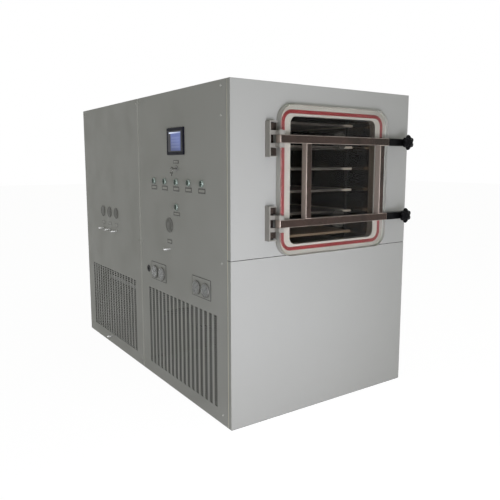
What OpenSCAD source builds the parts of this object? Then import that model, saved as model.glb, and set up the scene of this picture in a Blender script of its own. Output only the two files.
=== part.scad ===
// Pilot freeze dryer: two steel cabinet modules, a shelf chamber behind a clear clamped door,
// and a control side with buttons, gauges and vents.
// Millimetres. Origin: middle of the footprint on the floor. The door faces -Y, the controls face -X.

/* [Cabinet] */
// width across the two side faces
cabinet_w = 1180; // [1150:10:1420]
// depth from the front panels to the back panel
cabinet_d = 2046; // [2000:10:2460]
// height from the floor to the top panels
cabinet_h = 1650; // [1600:10:1900]
// depth of the front module, from the front face to the middle of the module gap
front_module_d = 1034; // [1020:2:1080]
// gap shown between the two modules' side panels
module_gap = 6; // [3:1:12]
// thickness of the cabinet sheet metal
sheet = 2; // [1.5:0.5:3]
// height of the gap between the upper and the lower front panel
front_split_z = 825; // [800:5:850]
// depth of the front panels' folded side returns
front_return = 30; // [20:1:40]

/* [Frame] */
// leg of the posts on the cabinet's sides
post_leg = 88; // [70:1:88]
// leg of the rails and of the posts on the front and back
rail_leg = 40; // [30:1:50]
// thickness of the angle steel
angle_t = 4; // [3:1:6]
// height of the middle ring that carries the chamber and the cold trap
ring_top_z = 790; // [760:1:790]

/* [Door] */
// door centre to the right of the cabinet centre
door_x = 30; // [20:1:40]
// height of the door centre above the floor
door_z = 1188.5; // [1170:0.5:1210]
// side of the square clear door plate
plate_size = 728; // [700:2:760]
// thickness of the clear door plate
plate_t = 32; // [25:1:40]
// corner radius of the clear door plate
plate_r = 80; // [60:2:100]
// hinge pin axis to the left of the door centre
hinge_dx = 380; // [380:1:400]
// clamp knob axis to the right of the door centre
knob_dx = 456; // [440:1:470]
// height of each horizontal bar above and below the door centre
bar_dz = 198; // [170:1:220]
// height and depth of the square bars
bar_size = 38; // [32:1:42]
// wall thickness of the bars and stiles
tube_wall = 3; // [2:0.5:5]
// width of the two stiles
stile_w = 32; // [28:1:36]
// distance of each stile from the middle of the bars
stile_dx = 252; // [220:1:280]
// across the tips of a clamp knob
knob_d = 82; // [70:1:90]
// diameter of the discs that hold the plate to the bars
disc_d = 96; // [80:1:110]

/* [Chamber] */
// width of the chamber mouth
mouth_w = 575; // [560:5:585]
// height of the chamber mouth
mouth_h = 620; // [600:5:625]
// inner width of the chamber behind the flange
chamber_w = 600; // [590:5:610]
// inner height of the chamber behind the flange
chamber_h = 640; // [630:5:640]
// inner depth of the chamber behind the flange
chamber_d = 720; // [700:10:760]
// number of shelves
shelf_count = 6; // [4:1:6]
// height from one shelf to the next
shelf_pitch = 116; // [105:1:116]
// thickness of a shelf
shelf_t = 12; // [10:1:16]
// width of a shelf
shelf_w = 506; // [480:2:520]
// depth of a shelf
shelf_d = 540; // [500:5:560]

/* [Controls] */
// diameter of a push button's collar
collar_d = 36; // [32:1:40]
// diameter of a push button's cap
cap_d = 27; // [22:1:28]
// travel of a push button
press_travel = 3; // [2:0.5:4]
// distance between neighbouring buttons
button_pitch = 139; // [120:1:141]
// width of the touch panel's case
touch_w = 198; // [180:2:210]
// height of the touch panel's case
touch_h = 142; // [130:2:150]
// outer diameter of a pressure gauge
gauge_d = 76; // [70:1:84]
// distance between the two gauges of a pair
gauge_pitch = 92; // [88:1:104]

/* [Vents] */
// columns of vent slots in each vent field
vent_columns = 17; // [4:1:17]
// rows of vent slots in each vent field
vent_rows = 39; // [4:1:39]
// distance between neighbouring columns
vent_pitch_y = 48; // [40:1:48]
// distance between neighbouring rows
vent_pitch_z = 12; // [10:0.5:12]
// width of a vent slot
slot_w = 32; // [20:1:34]
// height of a vent slot
slot_h = 7.5; // [4:0.5:8]

/* [Machinery] */
// diameter of the cold trap
trap_d = 520; // [460:5:560]
// length of the cold trap
trap_l = 720; // [600:10:760]
// diameter of the cooling fan
fan_d = 380; // [300:5:400]
// number of fan blades
fan_blades = 5; // [3:1:7]
// diameter of a compressor
compressor_d = 240; // [200:5:260]
// height of a compressor without its feet
compressor_h = 330; // [280:5:380]

/* [Hidden] */
$fn = 96;
seat = 0.3;        // gap left where one piece sits on another
over = 1;          // how far a cutting shape passes a surface
turn_gap = 0.05;   // radial clearance of a running fit
move_gap = 0.4;    // gap between pieces that move past each other

front_y = -cabinet_d / 2;
back_y = cabinet_d / 2;
side_x = -cabinet_w / 2;
seam_y = front_y + front_module_d;
panel_gap = 3;
panel_base_z = 3;
panel_top_z = cabinet_h - sheet - seat;

frame_x = cabinet_w / 2 - sheet - seat;
frame_top_z = panel_top_z;
frame_front_y = front_y + sheet + seat;
frame_back_y = back_y - sheet - seat;
floor_t = 4;
floor_top_z = 2 * floor_t;
side_front_y = front_y + front_return + panel_gap;

screw_head_d = 12;
screw_head_h = 3.5;
screw_d = 6;
screw_hole_d = 6.6;
screw_l = sheet + seat + angle_t + 3;
screw_from_front = 78;
screw_from_seam = 22;
screw_z = [50, front_split_z - 20, cabinet_h - 27];
extra_screw_z = 1492;

gasket_w = 18;
gasket_t = 8;
gasket_proud = 3;
gasket_size = 680;
gasket_r = 60;
flange_t = 40;
flange_size = plate_size - 4;
mouth_r = 36;
cutout_gap = 1;

plate_off = gasket_proud + seat;
plate_front = plate_off + plate_t;
bar_off = plate_front + seat;
bar_front = bar_off + bar_size;
pin_off = bar_off + bar_size / 2;
pin_r = 6;
pin_x = door_x - hinge_dx;
knob_x = door_x + knob_dx;
bar_mid_x = (pin_x + knob_x) / 2 - 6;
bar_left_x = pin_x - 13;
bar_steel_end_x = knob_x - 124;
bar_end_x = knob_x + 26;
plug_l = 30;

bracket_over_plate = 1.7;
bracket_t = plate_front + bracket_over_plate;
bracket_h = 166;
bracket_w = 44;
bracket_x = pin_x - 48;
arm_t = 20;
arm_w = 32;
arm_chamfer = 6;
arm_front = bar_front + 2;
bracket_wall = 6;
bracket_rib = 5;
bar_gap_h = bar_size + 2 * move_gap;
bolt_cell_low = bar_gap_h / 2 + arm_t;
bolt_cell_h = bracket_h / 2 - bracket_rib - bolt_cell_low;
bracket_bolt_z = bolt_cell_low + bolt_cell_h / 2;
bracket_bolt_d = 12;
bolt_head_af = 26;
bolt_head_h = 10;

stud_r = 6;
stud_tip_off = 12;
socket_r = 11;
socket_bore_r = 7.5;
socket_off = 33;
socket_floor_off = 8;
strap_w = 60;
strap_t = 8;
knob_hub_r = 18;
knob_hub_h = 10;
knob_lobe_h = 28;
knob_crown_h = 6;
lobe_r = 11;
lobe_count = 6;

disc_t = 8;
clamp_bolt_r = 6;
clamp_bolt_l = plate_t + bar_size / 2;
clamp_head_r = 12;
clamp_head_h = 7;

wall_t = 8;
back_wall_t = 10;
rib_t = 12;
rib_h = 30;
rib_count = 3;
chamber_front_y = front_y + flange_t + seat;
chamber_back_y = chamber_front_y + chamber_d + back_wall_t;
duct_r = 90;
duct_wall = 4;
duct_flange_r = 118;
duct_flange_t = 12;

shelf_front_y = front_y + 135;
shelf_low_z = door_z - mouth_h / 2 + 24;
shelf_post_r = 8;
shelf_post_inset = 22;
shelf_post_top = 16;
collar_h = 5;
collar_r = 13;
oil_pipe_r = 11;
oil_branch_r = 7;
oil_pipe_dx = 160;
oil_pipe_dy = 60;

touch_y = front_y + 538;
touch_z = 1388;
touch_proud = 6;
touch_r = 6;
touch_body_d = 42;
touch_body_inset = 6;
screen_w = 160;
screen_h = 110;
screen_t = 3;
button_z = 1174;
button_y = front_y + 541;
low_button_z = 1041;
collar_proud = 10;
collar_barrel_d = 31;
collar_depth = 30;
cap_proud = 14;
cap_depth = 14;
lock_y = front_y + 533;
lock_z = 1246;
lock_ring_r = 15;
lock_barrel_r = 11;
lock_depth = 36;
lock_proud = 4;
key_bore_r = 5;
key_blade_w = 8;
key_t = 2.2;
key_blade_in = 16;
bow_r = 9;
bow_hole_r = 3;
bow_hole_drop = 3;
bow_centre = lock_proud + bow_r + 15;
ring_r = 5;
ring_wire_r = 0.9;
ring_gap = 0.5;
ring_drop = bow_hole_r - ring_wire_r - ring_gap;
spare_bow_drop = 5;
spare_blade_l = 18;

label_t = 1;
plate_label = [70, 26];
low_label = [72, 20];
touch_label = [61, 18];
port_label = [56, 24];
port_front_y = front_y + 631;
port_rear_y = [seam_y + 652, seam_y + 529, seam_y + 406];
port_front_z = 937;
port_rear_z = 940;
port_front_d = 82;
port_rear_d = 72;
port_cap_t = 4;
port_plug_t = 8;
stub_r = 6.5;
stub_l = 40;
stub_in = 30;
stub_flange_r = 11.5;
stub_front_z = 804;
stub_rear_z = 820;
port_label_rise = 42;
drain_y = seam_y + 555;
drain_z = 56;

gauge_plate = [192, 104];
gauge_plate_t = 1.5;
gauge_plate_y = [front_y + 782, front_y + 279];
gauge_plate_z = 651;
gauge_z = 645;
gauge_ring_h = 9;
gauge_body_r = gauge_d / 2 - 6;
gauge_bore_r = gauge_d / 2 - 5;
gauge_cup_r = gauge_d / 2 - 9;
gauge_body_l = 42;
gauge_face_off = -4;
gauge_glass_t = 2.5;
needle_l = gauge_cup_r - 5;
needle_w = 3;
needle_t = 1;
spindle_r = 1.5;
grommet_y = front_y + 923;
grommet_z = 650;
grommet_r = 21;
grommet_hole_r = 9;

vent_front_y = front_y + 129;
vent_rear_y = seam_y + 102;
vent_z = 74;

trap_wall = 6;
trap_y = seam_y + 100;
trap_head_t = 10;
coil_r = 190;
coil_tube_r = 9;
coil_turns = 8;
coil_pitch = 75;
header_r = 12;
saddle_t = 12;
saddle_w = 300;

condenser_x = side_x + 60;
condenser_t = 60;
condenser_y = seam_y + 140;
condenser_w = 620;
condenser_h = 460;
fin_count = 24;
fin_t = 2;
shroud_t = 3;
shroud_depth = 90;
fan_hub_r = 45;
fan_hub_h = 50;
fan_z = floor_top_z + seat + condenser_h / 2;
fan_y = condenser_y + condenser_w / 2;
blade_t = 4;
blade_chord = 110;
motor_r = 60;
motor_l = 120;
motor_arm_t = 10;
shaft_r = 8;

compressor_x = 220;
compressor_ys = [seam_y + 230, seam_y + 620];
foot_t = 10;
pump_x = 120;
pump_y = front_y + 330;
tank_x = 330;
tank_y = front_y + 720;
tank_size = [300, 260, 420];
tank_wall = 5;
neck_r = 30;
box_y = front_y + 160;
box_size = [170, 560, 480];

// ---------- placing and plain shapes ----------

// children drawn flat as (y, z) become a sheet of thickness t, its outer face in the left side plane
module left_sheet(t) {
    translate([side_x, 0, 0])
        rotate([90, 0, 90])
            linear_extrude(height = t)
                children();
}

// children drawn flat as (x, z) grow out of the front plane from off_from to off_to
module front_slab(off_from, off_to) {
    translate([0, front_y - off_from, 0])
        rotate([90, 0, 0])
            linear_extrude(height = off_to - off_from)
                children();
}

// children drawn about their +Z axis stand out of the left side at height z
module out_left(y, z, off = 0) {
    translate([side_x - off, y, z])
        rotate([0, -90, 0])
            children();
}

// children drawn about their +Z axis stand out of the front at height z
module out_front(x, z, off = 0) {
    translate([x, front_y - off, z])
        rotate([90, 0, 0])
            children();
}

// flat rounded rectangle about its centre
module rounded_rect(w, h, r) {
    square([w, h - 2 * r], center = true);
    square([w - 2 * r, h], center = true);
    for (sx = [-1, 1])
        for (sz = [-1, 1])
            translate([sx * (w / 2 - r), sz * (h / 2 - r)])
                circle(r = r);
}

module centred_box(size, at) {
    translate(at)
        cube(size, center = true);
}

// a ring of revolution with an inner and an outer radius
module tube(outer_r, inner_r, h) {
    difference() {
        cylinder(r = outer_r, h = h);
        translate([0, 0, -over])
            cylinder(r = inner_r, h = h + 2 * over);
    }
}

// ---------- cabinet frames ----------

module frame_box(y0, y1) {
    w = 2 * frame_x;
    d = y1 - y0;
    mid = [0, (y0 + y1) / 2, frame_top_z / 2];
    difference() {
        centred_box([w, d, frame_top_z], mid);
        centred_box([w - 2 * angle_t, d - 2 * angle_t, frame_top_z - 2 * angle_t], mid);
        centred_box([w + 2 * over, d - 2 * post_leg, frame_top_z - 2 * rail_leg], mid);
        centred_box([w - 2 * rail_leg, d + 2 * over, frame_top_z - 2 * rail_leg], mid);
        centred_box([w - 2 * rail_leg, d - 2 * rail_leg, frame_top_z + 2 * over], mid);
    }
    // welded floor plate
    translate([-frame_x + angle_t / 2, y0 + angle_t / 2, floor_t / 2])
        cube([w - angle_t, d - angle_t, floor_top_z - floor_t / 2]);
}

// middle ring of angle steel
module frame_ring(y0, y1) {
    w = 2 * frame_x;
    d = y1 - y0;
    difference() {
        translate([-frame_x, y0, ring_top_z - rail_leg])
            cube([w, d, rail_leg]);
        translate([-frame_x + angle_t, y0 + angle_t, ring_top_z - rail_leg - over])
            cube([w - 2 * angle_t, d - 2 * angle_t, rail_leg - angle_t + over]);
        translate([-frame_x + rail_leg, y0 + rail_leg, ring_top_z - rail_leg])
            cube([w - 2 * rail_leg, d - 2 * rail_leg, rail_leg + over]);
    }
}

module cross_rail(y) {
    translate([-frame_x + angle_t / 2, y - rail_leg / 2, ring_top_z - rail_leg])
        cube([2 * frame_x - angle_t, rail_leg, rail_leg]);
}

module side_screw_places(y_list, z_list) {
    for (y = y_list)
        for (z = z_list)
            translate([0, y, z])
                children();
}

front_screw_ys = [front_y + screw_from_front, seam_y - screw_from_seam];
rear_screw_ys = [seam_y + screw_from_seam, back_y - screw_from_seam];

// drills both side faces of a module
module side_screw_drill(y_list) {
    side_screw_places(y_list, screw_z)
        rotate([0, 90, 0])
            cylinder(d = screw_hole_d, h = cabinet_w + 2 * over, center = true);
}

module extra_screw_drill() {
    translate([0, front_screw_ys[0], extra_screw_z])
        rotate([0, 90, 0])
            cylinder(d = screw_hole_d, h = cabinet_w + 2 * over, center = true);
}

back_screw_xs = [-frame_x + rail_leg / 2, frame_x - rail_leg / 2];

module back_screw_drill() {
    for (x = back_screw_xs)
        for (z = screw_z)
            translate([x, back_y, z])
                rotate([90, 0, 0])
                    cylinder(d = screw_hole_d, h = 60, center = true);
}

rib_ys = [for (i = [0:rib_count - 1])
    chamber_front_y + 60 + i * (chamber_d - 120) / (rib_count - 1)];

module front_frame() {
    y0 = frame_front_y;
    y1 = seam_y - seat;
    color("dimgray") difference() {
        union() {
            frame_box(y0, y1);
            frame_ring(y0, y1);
            for (y = rib_ys)
                cross_rail(y);
            // straps behind the door's hinges and clamps
            for (x = [bracket_x + bracket_w / 2, knob_x])
                translate([x - strap_w / 2, y0, ring_top_z - rail_leg / 2])
                    cube([strap_w, strap_t, frame_top_z - ring_top_z]);
            for (sz = [-1, 1])
                out_front(knob_x, door_z + sz * bar_dz, front_y - y0 - strap_t / 2)
                    cylinder(r = socket_r, h = socket_off + y0 - front_y + strap_t / 2);
        }
        for (sz = [-1, 1])
            out_front(knob_x, door_z + sz * bar_dz, socket_floor_off)
                cylinder(r = socket_bore_r, h = socket_off - socket_floor_off + over);
        bracket_bolt_places()
            cylinder(d = bracket_bolt_d + 0.6, h = 80, center = true);
        side_screw_drill(front_screw_ys);
        extra_screw_drill();
    }
}

trap_mid_y = trap_y + trap_l / 2;
saddle_ys = [trap_y + 120, trap_y + trap_l - 120];

module rear_frame() {
    y0 = seam_y + seat;
    color("dimgray") difference() {
        union() {
            frame_box(y0, frame_back_y);
            frame_ring(y0, frame_back_y);
            for (y = saddle_ys)
                cross_rail(y);
        }
        side_screw_drill(rear_screw_ys);
        back_screw_drill();
    }
}

// ---------- cabinet skins ----------

module vent_slots(y0) {
    for (c = [0:vent_columns - 1])
        for (r = [0:vent_rows - 1])
            translate([y0 + c * vent_pitch_y, vent_z + r * vent_pitch_z])
                square([slot_w, slot_h]);
}

module side_outline(y0, y1) {
    translate([y0, panel_base_z])
        square([y1 - y0, panel_top_z - panel_base_z]);
}

module control_holes() {
    translate([touch_y, touch_z])
        square([touch_w - 2 * touch_body_inset + 1, touch_h - 2 * touch_body_inset + 1], center = true);
    for (p = button_places)
        translate(p)
            circle(d = collar_barrel_d + 1);
    translate([lock_y, lock_z])
        circle(r = lock_barrel_r + 0.5);
    for (p = gauge_places)
        translate(p)
            circle(r = gauge_body_r + 0.5);
    translate([grommet_y, grommet_z])
        circle(r = grommet_r - 4);
    translate([port_front_y, port_front_z])
        circle(d = port_front_d - 12);
    translate([port_front_y, stub_front_z])
        circle(r = stub_r + 0.5);
}

button_places = concat(
    [for (i = [0:4]) [button_y + (2 - i) * button_pitch, button_z]],
    [[button_y, low_button_z]]
);

gauge_places = [for (y = gauge_plate_y) for (s = [1, -1]) [y + s * gauge_pitch / 2, gauge_z]];

module left_front_panel() {
    color("gainsboro") difference() {
        left_sheet(sheet)
            difference() {
                side_outline(side_front_y, seam_y - module_gap / 2);
                vent_slots(vent_front_y);
                control_holes();
            }
        side_screw_drill(front_screw_ys);
        extra_screw_drill();
    }
}

module left_rear_panel() {
    color("gainsboro") difference() {
        left_sheet(sheet)
            difference() {
                side_outline(seam_y + module_gap / 2, back_y - sheet - seat);
                vent_slots(vent_rear_y);
                for (y = port_rear_y) {
                    translate([y, port_rear_z])
                        circle(d = port_rear_d - 12);
                    translate([y, stub_rear_z])
                        circle(r = stub_r + 0.5);
                }
                translate([drain_y, drain_z])
                    circle(r = stub_r + 0.5);
            }
        side_screw_drill(rear_screw_ys);
    }
}

module right_side_panel(y0, y1) {
    color("gainsboro")
        translate([2 * frame_x + sheet + 2 * seat, 0, 0])
            left_sheet(sheet)
                side_outline(y0, y1);
}

module right_front_panel() {
    difference() {
        right_side_panel(side_front_y, seam_y - module_gap / 2);
        side_screw_drill(front_screw_ys);
        extra_screw_drill();
    }
}

module right_rear_panel() {
    difference() {
        right_side_panel(seam_y + module_gap / 2, back_y - sheet - seat);
        side_screw_drill(rear_screw_ys);
    }
}

// front sheet with a folded return down each side
module front_pan(z0, z1) {
    for (s = [-1, 1])
        translate([s * (cabinet_w - sheet) / 2, front_y + front_return / 2, (z0 + z1) / 2])
            cube([sheet, front_return, z1 - z0], center = true);
    translate([side_x, front_y, z0])
        cube([cabinet_w, sheet, z1 - z0]);
}

module front_upper_panel() {
    color("gainsboro") difference() {
        front_pan(front_split_z + panel_gap / 2, panel_top_z);
        front_slab(-sheet - over, over)
            translate([door_x, door_z])
                rounded_rect(flange_size + 2 * cutout_gap, flange_size + 2 * cutout_gap, plate_r - 2);
        for (sz = [-1, 1])
            out_front(knob_x, door_z + sz * bar_dz, -sheet - over)
                cylinder(r = socket_r + seat, h = sheet + 2 * over);
        bracket_bolt_places()
            cylinder(d = bracket_bolt_d + 0.6, h = 20, center = true);
    }
}

module front_lower_panel() {
    color("gainsboro")
        front_pan(panel_base_z, front_split_z - panel_gap / 2);
}

module front_top_panel() {
    color("gainsboro")
        translate([side_x, front_y, cabinet_h - sheet])
            cube([cabinet_w, front_module_d - module_gap / 2, sheet]);
}

module rear_top_panel() {
    color("gainsboro")
        translate([side_x, seam_y + module_gap / 2, cabinet_h - sheet])
            cube([cabinet_w, back_y - seam_y - module_gap / 2, sheet]);
}

module back_panel() {
    color("gainsboro") difference() {
        translate([side_x, back_y - sheet, panel_base_z])
            cube([cabinet_w, sheet, panel_top_z - panel_base_z]);
        back_screw_drill();
    }
}

module panel_screw() {
    cylinder(d = screw_d, h = screw_l);
    translate([0, 0, -screw_head_h])
        cylinder(d = screw_head_d, h = screw_head_h);
}

module side_screws(y_list, z_list) {
    for (s = [-1, 1])
        side_screw_places(y_list, z_list)
            translate([s * (cabinet_w / 2 + seat / 3), 0, 0])
                rotate([0, -90 * s, 0])
                    panel_screw();
}

module panel_screws() {
    color("silver") {
        side_screws(front_screw_ys, screw_z);
        side_screws(rear_screw_ys, screw_z);
        side_screws([front_screw_ys[0]], [extra_screw_z]);
        for (x = back_screw_xs)
            for (z = screw_z)
                translate([x, back_y + seat / 3, z])
                    rotate([90, 0, 0])
                        panel_screw();
    }
}

// ---------- chamber ----------

module chamber_tube(w, h, r, y0, d) {
    translate([door_x, y0 + d, door_z])
        rotate([90, 0, 0])
            linear_extrude(height = d)
                rounded_rect(w, h, r);
}

module chamber_shell() {
    outer_w = chamber_w + 2 * wall_t;
    outer_h = chamber_h + 2 * wall_t;
    color("silver") difference() {
        union() {
            chamber_tube(outer_w, outer_h, mouth_r + wall_t, chamber_front_y, chamber_d + back_wall_t);
            for (y = rib_ys)
                chamber_tube(outer_w + 2 * rib_h, outer_h + 2 * rib_h, mouth_r, y - rib_t / 2, rib_t);
            // feet bars under the ribs, resting on the frame's cross rails
            for (y = rib_ys)
                for (s = [-1, 1])
                    translate([door_x + s * chamber_w / 3 - 30, y - rail_leg / 2, ring_top_z + seat])
                        cube([60, rail_leg, door_z - outer_h / 2 - ring_top_z]);
        }
        chamber_tube(chamber_w, chamber_h, mouth_r, chamber_front_y - over, chamber_d + over);
        translate([door_x, chamber_back_y + over, door_z])
            rotate([90, 0, 0])
                cylinder(r = duct_r - duct_wall, h = back_wall_t + 2 * over);
        for (s = [-1, 1])
            translate([door_x + s * oil_pipe_dx, 0, shelf_low_z])
                translate([0, chamber_back_y + over, -shelf_t / 2])
                    rotate([90, 0, 0])
                        cylinder(r = oil_branch_r + seat, h = back_wall_t + 2 * over);
    }
}

module chamber_flange() {
    color("lightgray") difference() {
        front_slab(-flange_t, 0)
            translate([door_x, door_z])
                rounded_rect(flange_size, flange_size, plate_r - 2);
        front_slab(-flange_t - over, over)
            translate([door_x, door_z])
                rounded_rect(mouth_w, mouth_h, mouth_r);
        front_slab(gasket_proud - gasket_t - seat, over)
            translate([door_x, door_z])
                difference() {
                    rounded_rect(gasket_size + 2 * seat, gasket_size + 2 * seat, gasket_r + seat);
                    rounded_rect(gasket_size - 2 * gasket_w - 2 * seat,
                        gasket_size - 2 * gasket_w - 2 * seat, gasket_r - gasket_w - seat);
                }
    }
}

module door_gasket() {
    color("firebrick")
        front_slab(gasket_proud - gasket_t, gasket_proud)
            translate([door_x, door_z])
                difference() {
                    rounded_rect(gasket_size, gasket_size, gasket_r);
                    rounded_rect(gasket_size - 2 * gasket_w, gasket_size - 2 * gasket_w,
                        gasket_r - gasket_w);
                }
}

module post_places() {
    for (sx = [-1, 1])
        for (y = [shelf_front_y + shelf_post_inset, shelf_front_y + shelf_d - shelf_post_inset])
            translate([door_x + sx * (shelf_w / 2 - shelf_post_inset), y, 0])
                children();
}

module shelves() {
    color("silver")
        for (i = [0:shelf_count - 1])
            difference() {
                translate([door_x - shelf_w / 2, shelf_front_y, shelf_low_z + i * shelf_pitch - shelf_t])
                    cube([shelf_w, shelf_d, shelf_t]);
                post_places()
                    cylinder(r = shelf_post_r + seat, h = cabinet_h);
            }
}

module shelf_posts() {
    foot_z = door_z - chamber_h / 2 + seat;
    top_z = shelf_low_z + (shelf_count - 1) * shelf_pitch + shelf_post_top;
    color("silver")
        post_places() {
            translate([0, 0, foot_z])
                cylinder(r = shelf_post_r, h = top_z - foot_z);
            for (i = [0:shelf_count - 1])
                translate([0, 0, shelf_low_z + i * shelf_pitch - shelf_t - seat - collar_h])
                    cylinder(r = collar_r, h = collar_h);
        }
}

// upright oil pipes behind the shelves, with one branch to each shelf and one out of the chamber
module oil_headers() {
    pipe_y = shelf_front_y + shelf_d + oil_pipe_dy;
    low_z = shelf_low_z - shelf_t / 2;
    color("silver")
        for (s = [-1, 1])
            translate([door_x + s * oil_pipe_dx, pipe_y, low_z]) {
                translate([0, 0, -oil_pipe_r])
                    cylinder(r = oil_pipe_r, h = (shelf_count - 1) * shelf_pitch + 2 * oil_pipe_r);
                for (i = [0:shelf_count - 1])
                    translate([0, 0, i * shelf_pitch])
                        rotate([90, 0, 0])
                            cylinder(r = oil_branch_r * 0.6, h = oil_pipe_dy - seat);
                rotate([-90, 0, 0])
                    cylinder(r = oil_branch_r, h = chamber_back_y - pipe_y + 30);
            }
}

// ---------- door ----------

module door_plate() {
    color([0.85, 0.95, 0.95, 0.4]) difference() {
        front_slab(plate_off, plate_front)
            translate([door_x, door_z])
                rounded_rect(plate_size, plate_size, plate_r);
        for (sz = [-1, 1])
            out_front(bar_mid_x, door_z + sz * bar_dz, 0)
                cylinder(r = clamp_bolt_r + seat, h = plate_front + over);
    }
}

// square tube along X with its outer faces bar_size apart
module bar_tube(z) {
    length = bar_steel_end_x - bar_left_x;
    inner = bar_size - 2 * tube_wall;
    difference() {
        translate([bar_left_x, front_y - bar_front, z - bar_size / 2])
            cube([length, bar_size, bar_size]);
        translate([bar_left_x - over, front_y - bar_front + tube_wall, z - inner / 2])
            cube([length + 2 * over, inner, inner]);
        translate([pin_x, front_y - pin_off, z - bar_size])
            cylinder(r = pin_r + turn_gap, h = 2 * bar_size);
        out_front(bar_mid_x, z, 0)
            cylinder(r = clamp_bolt_r + seat, h = bar_off + tube_wall + over);
    }
}

module stile(x) {
    z0 = door_z - bar_dz + bar_size / 2 - tube_wall / 2;
    h = 2 * bar_dz - bar_size + tube_wall;
    difference() {
        translate([x - stile_w / 2, front_y - bar_front, z0])
            cube([stile_w, bar_size, h]);
        translate([x - stile_w / 2 + tube_wall, front_y - bar_front + tube_wall, z0 - over])
            cube([stile_w - 2 * tube_wall, bar_size - 2 * tube_wall, h + 2 * over]);
    }
}

module door_frame() {
    color("darkgray") union() {
        for (sz = [-1, 1])
            bar_tube(door_z + sz * bar_dz);
        for (s = [-1, 1])
            stile(bar_mid_x + s * stile_dx);
    }
}

module bar_ends() {
    inner = bar_size - 2 * tube_wall - 2 * seat;
    color("black")
        for (sz = [-1, 1])
            difference() {
                union() {
                    translate([bar_steel_end_x + seat, front_y - bar_front,
                        door_z + sz * bar_dz - bar_size / 2])
                        cube([bar_end_x - bar_steel_end_x - seat, bar_size, bar_size]);
                    translate([bar_steel_end_x - plug_l, front_y - pin_off - inner / 2,
                        door_z + sz * bar_dz - inner / 2])
                        cube([plug_l + 2, inner, inner]);
                }
                out_front(knob_x, door_z + sz * bar_dz, 0)
                    cylinder(r = stud_r + turn_gap, h = bar_front + over);
            }
}

// a large disc and bolt that hold the clear plate against each bar
module plate_clamps() {
    color("whitesmoke")
        for (sz = [-1, 1])
            out_front(bar_mid_x, door_z + sz * bar_dz, plate_off - seat - disc_t) {
                cylinder(d = disc_d, h = disc_t);
                cylinder(r = clamp_bolt_r, h = disc_t + clamp_bolt_l);
                translate([0, 0, -clamp_head_h])
                    cylinder(r = clamp_head_r, h = clamp_head_h + 1);
            }
}

module bracket_bolt_places() {
    for (sz = [-1, 1])
        for (sb = [-1, 1])
            out_front(bracket_x + bracket_w / 2, door_z + sz * bar_dz + sb * bracket_bolt_z, 0)
                children();
}

// cells of the bracket, open to the front and to the right: one behind the bar's end, two for the bolts
module bracket_cells() {
    bar_cell = [-bar_gap_h / 2, bar_gap_h];
    upper_cell = [bolt_cell_low, bolt_cell_h];
    lower_cell = [-bolt_cell_low - bolt_cell_h, bolt_cell_h];
    for (cell = [bar_cell, upper_cell, lower_cell])
        front_slab(bracket_wall, bracket_t + over)
            translate([bracket_x + bracket_wall, cell[0]])
                square([bracket_w, cell[1]]);
}

module hinge_bracket() {
    arm_x = pin_x - arm_w / 2;
    difference() {
        union() {
            front_slab(seat, bracket_t)
                translate([bracket_x, -bracket_h / 2])
                    square([bracket_w, bracket_h]);
            for (s = [-1, 1])
                translate([0, 0, s * (bar_gap_h + arm_t) / 2 - arm_t / 2])
                    linear_extrude(height = arm_t)
                        polygon([
                            [arm_x, front_y - bracket_t + 8],
                            [arm_x, front_y - arm_front + arm_chamfer],
                            [arm_x + arm_chamfer, front_y - arm_front],
                            [arm_x + arm_w - arm_chamfer, front_y - arm_front],
                            [arm_x + arm_w, front_y - arm_front + arm_chamfer],
                            [arm_x + arm_w, front_y - bracket_t - 0.5],
                            [bracket_x + bracket_w, front_y - bracket_t - 0.5],
                            [bracket_x + bracket_w, front_y - bracket_t + 8]
                        ]);
        }
        bracket_cells();
        translate([pin_x, front_y - pin_off, 0])
            cylinder(r = pin_r + turn_gap, h = bracket_h, center = true);
        for (sb = [-1, 1])
            out_front(bracket_x + bracket_w / 2, sb * bracket_bolt_z, 0)
                cylinder(d = bracket_bolt_d + 0.6, h = 3 * bracket_t, center = true);
    }
}

module hinge_brackets() {
    color("silver")
        for (sz = [-1, 1])
            translate([0, 0, door_z + sz * bar_dz])
                hinge_bracket();
}

module hinge_pins() {
    length = bar_gap_h + 2 * arm_t;
    color("silver")
        for (sz = [-1, 1])
            translate([pin_x, front_y - pin_off, door_z + sz * bar_dz - length / 2]) {
                cylinder(r = pin_r, h = length + seat + 1);
                translate([0, 0, length + seat])
                    cylinder(r = pin_r + 3, h = 3);
            }
}

module bracket_bolts() {
    color("black")
        bracket_bolt_places() {
            translate([0, 0, -strap_t - sheet - 6])
                cylinder(d = bracket_bolt_d, h = strap_t + sheet + 6 + bracket_wall + seat + 1);
            translate([0, 0, bracket_wall + seat])
                cylinder(d = bolt_head_af / cos(30), h = bolt_head_h, $fn = 6);
        }
}

// star knob with its stud, captive in the end of a bar
module clamp_knob(z) {
    tip_r = knob_d / 2;
    lobe_ring_r = tip_r - lobe_r;
    out_front(knob_x, z, 0) {
        color("silver")
            translate([0, 0, stud_tip_off])
                cylinder(r = stud_r, h = bar_front + knob_hub_h - stud_tip_off);
        color("black") {
            translate([0, 0, bar_front + seat])
                cylinder(r = knob_hub_r, h = knob_hub_h + 1);
            translate([0, 0, bar_front + seat + knob_hub_h])
                linear_extrude(height = knob_lobe_h) {
                    circle(r = lobe_ring_r + 1);
                    for (i = [0:lobe_count - 1])
                        rotate(90 + i * 360 / lobe_count)
                            translate([lobe_ring_r, 0])
                                circle(r = lobe_r);
                }
            translate([0, 0, bar_front + seat + knob_hub_h + knob_lobe_h - 1])
                cylinder(r = knob_hub_r + 2, h = knob_crown_h + 1);
        }
    }
}

module upper_knob() {
    clamp_knob(door_z + bar_dz);
}

module lower_knob() {
    clamp_knob(door_z - bar_dz);
}

// ---------- controls ----------

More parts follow.
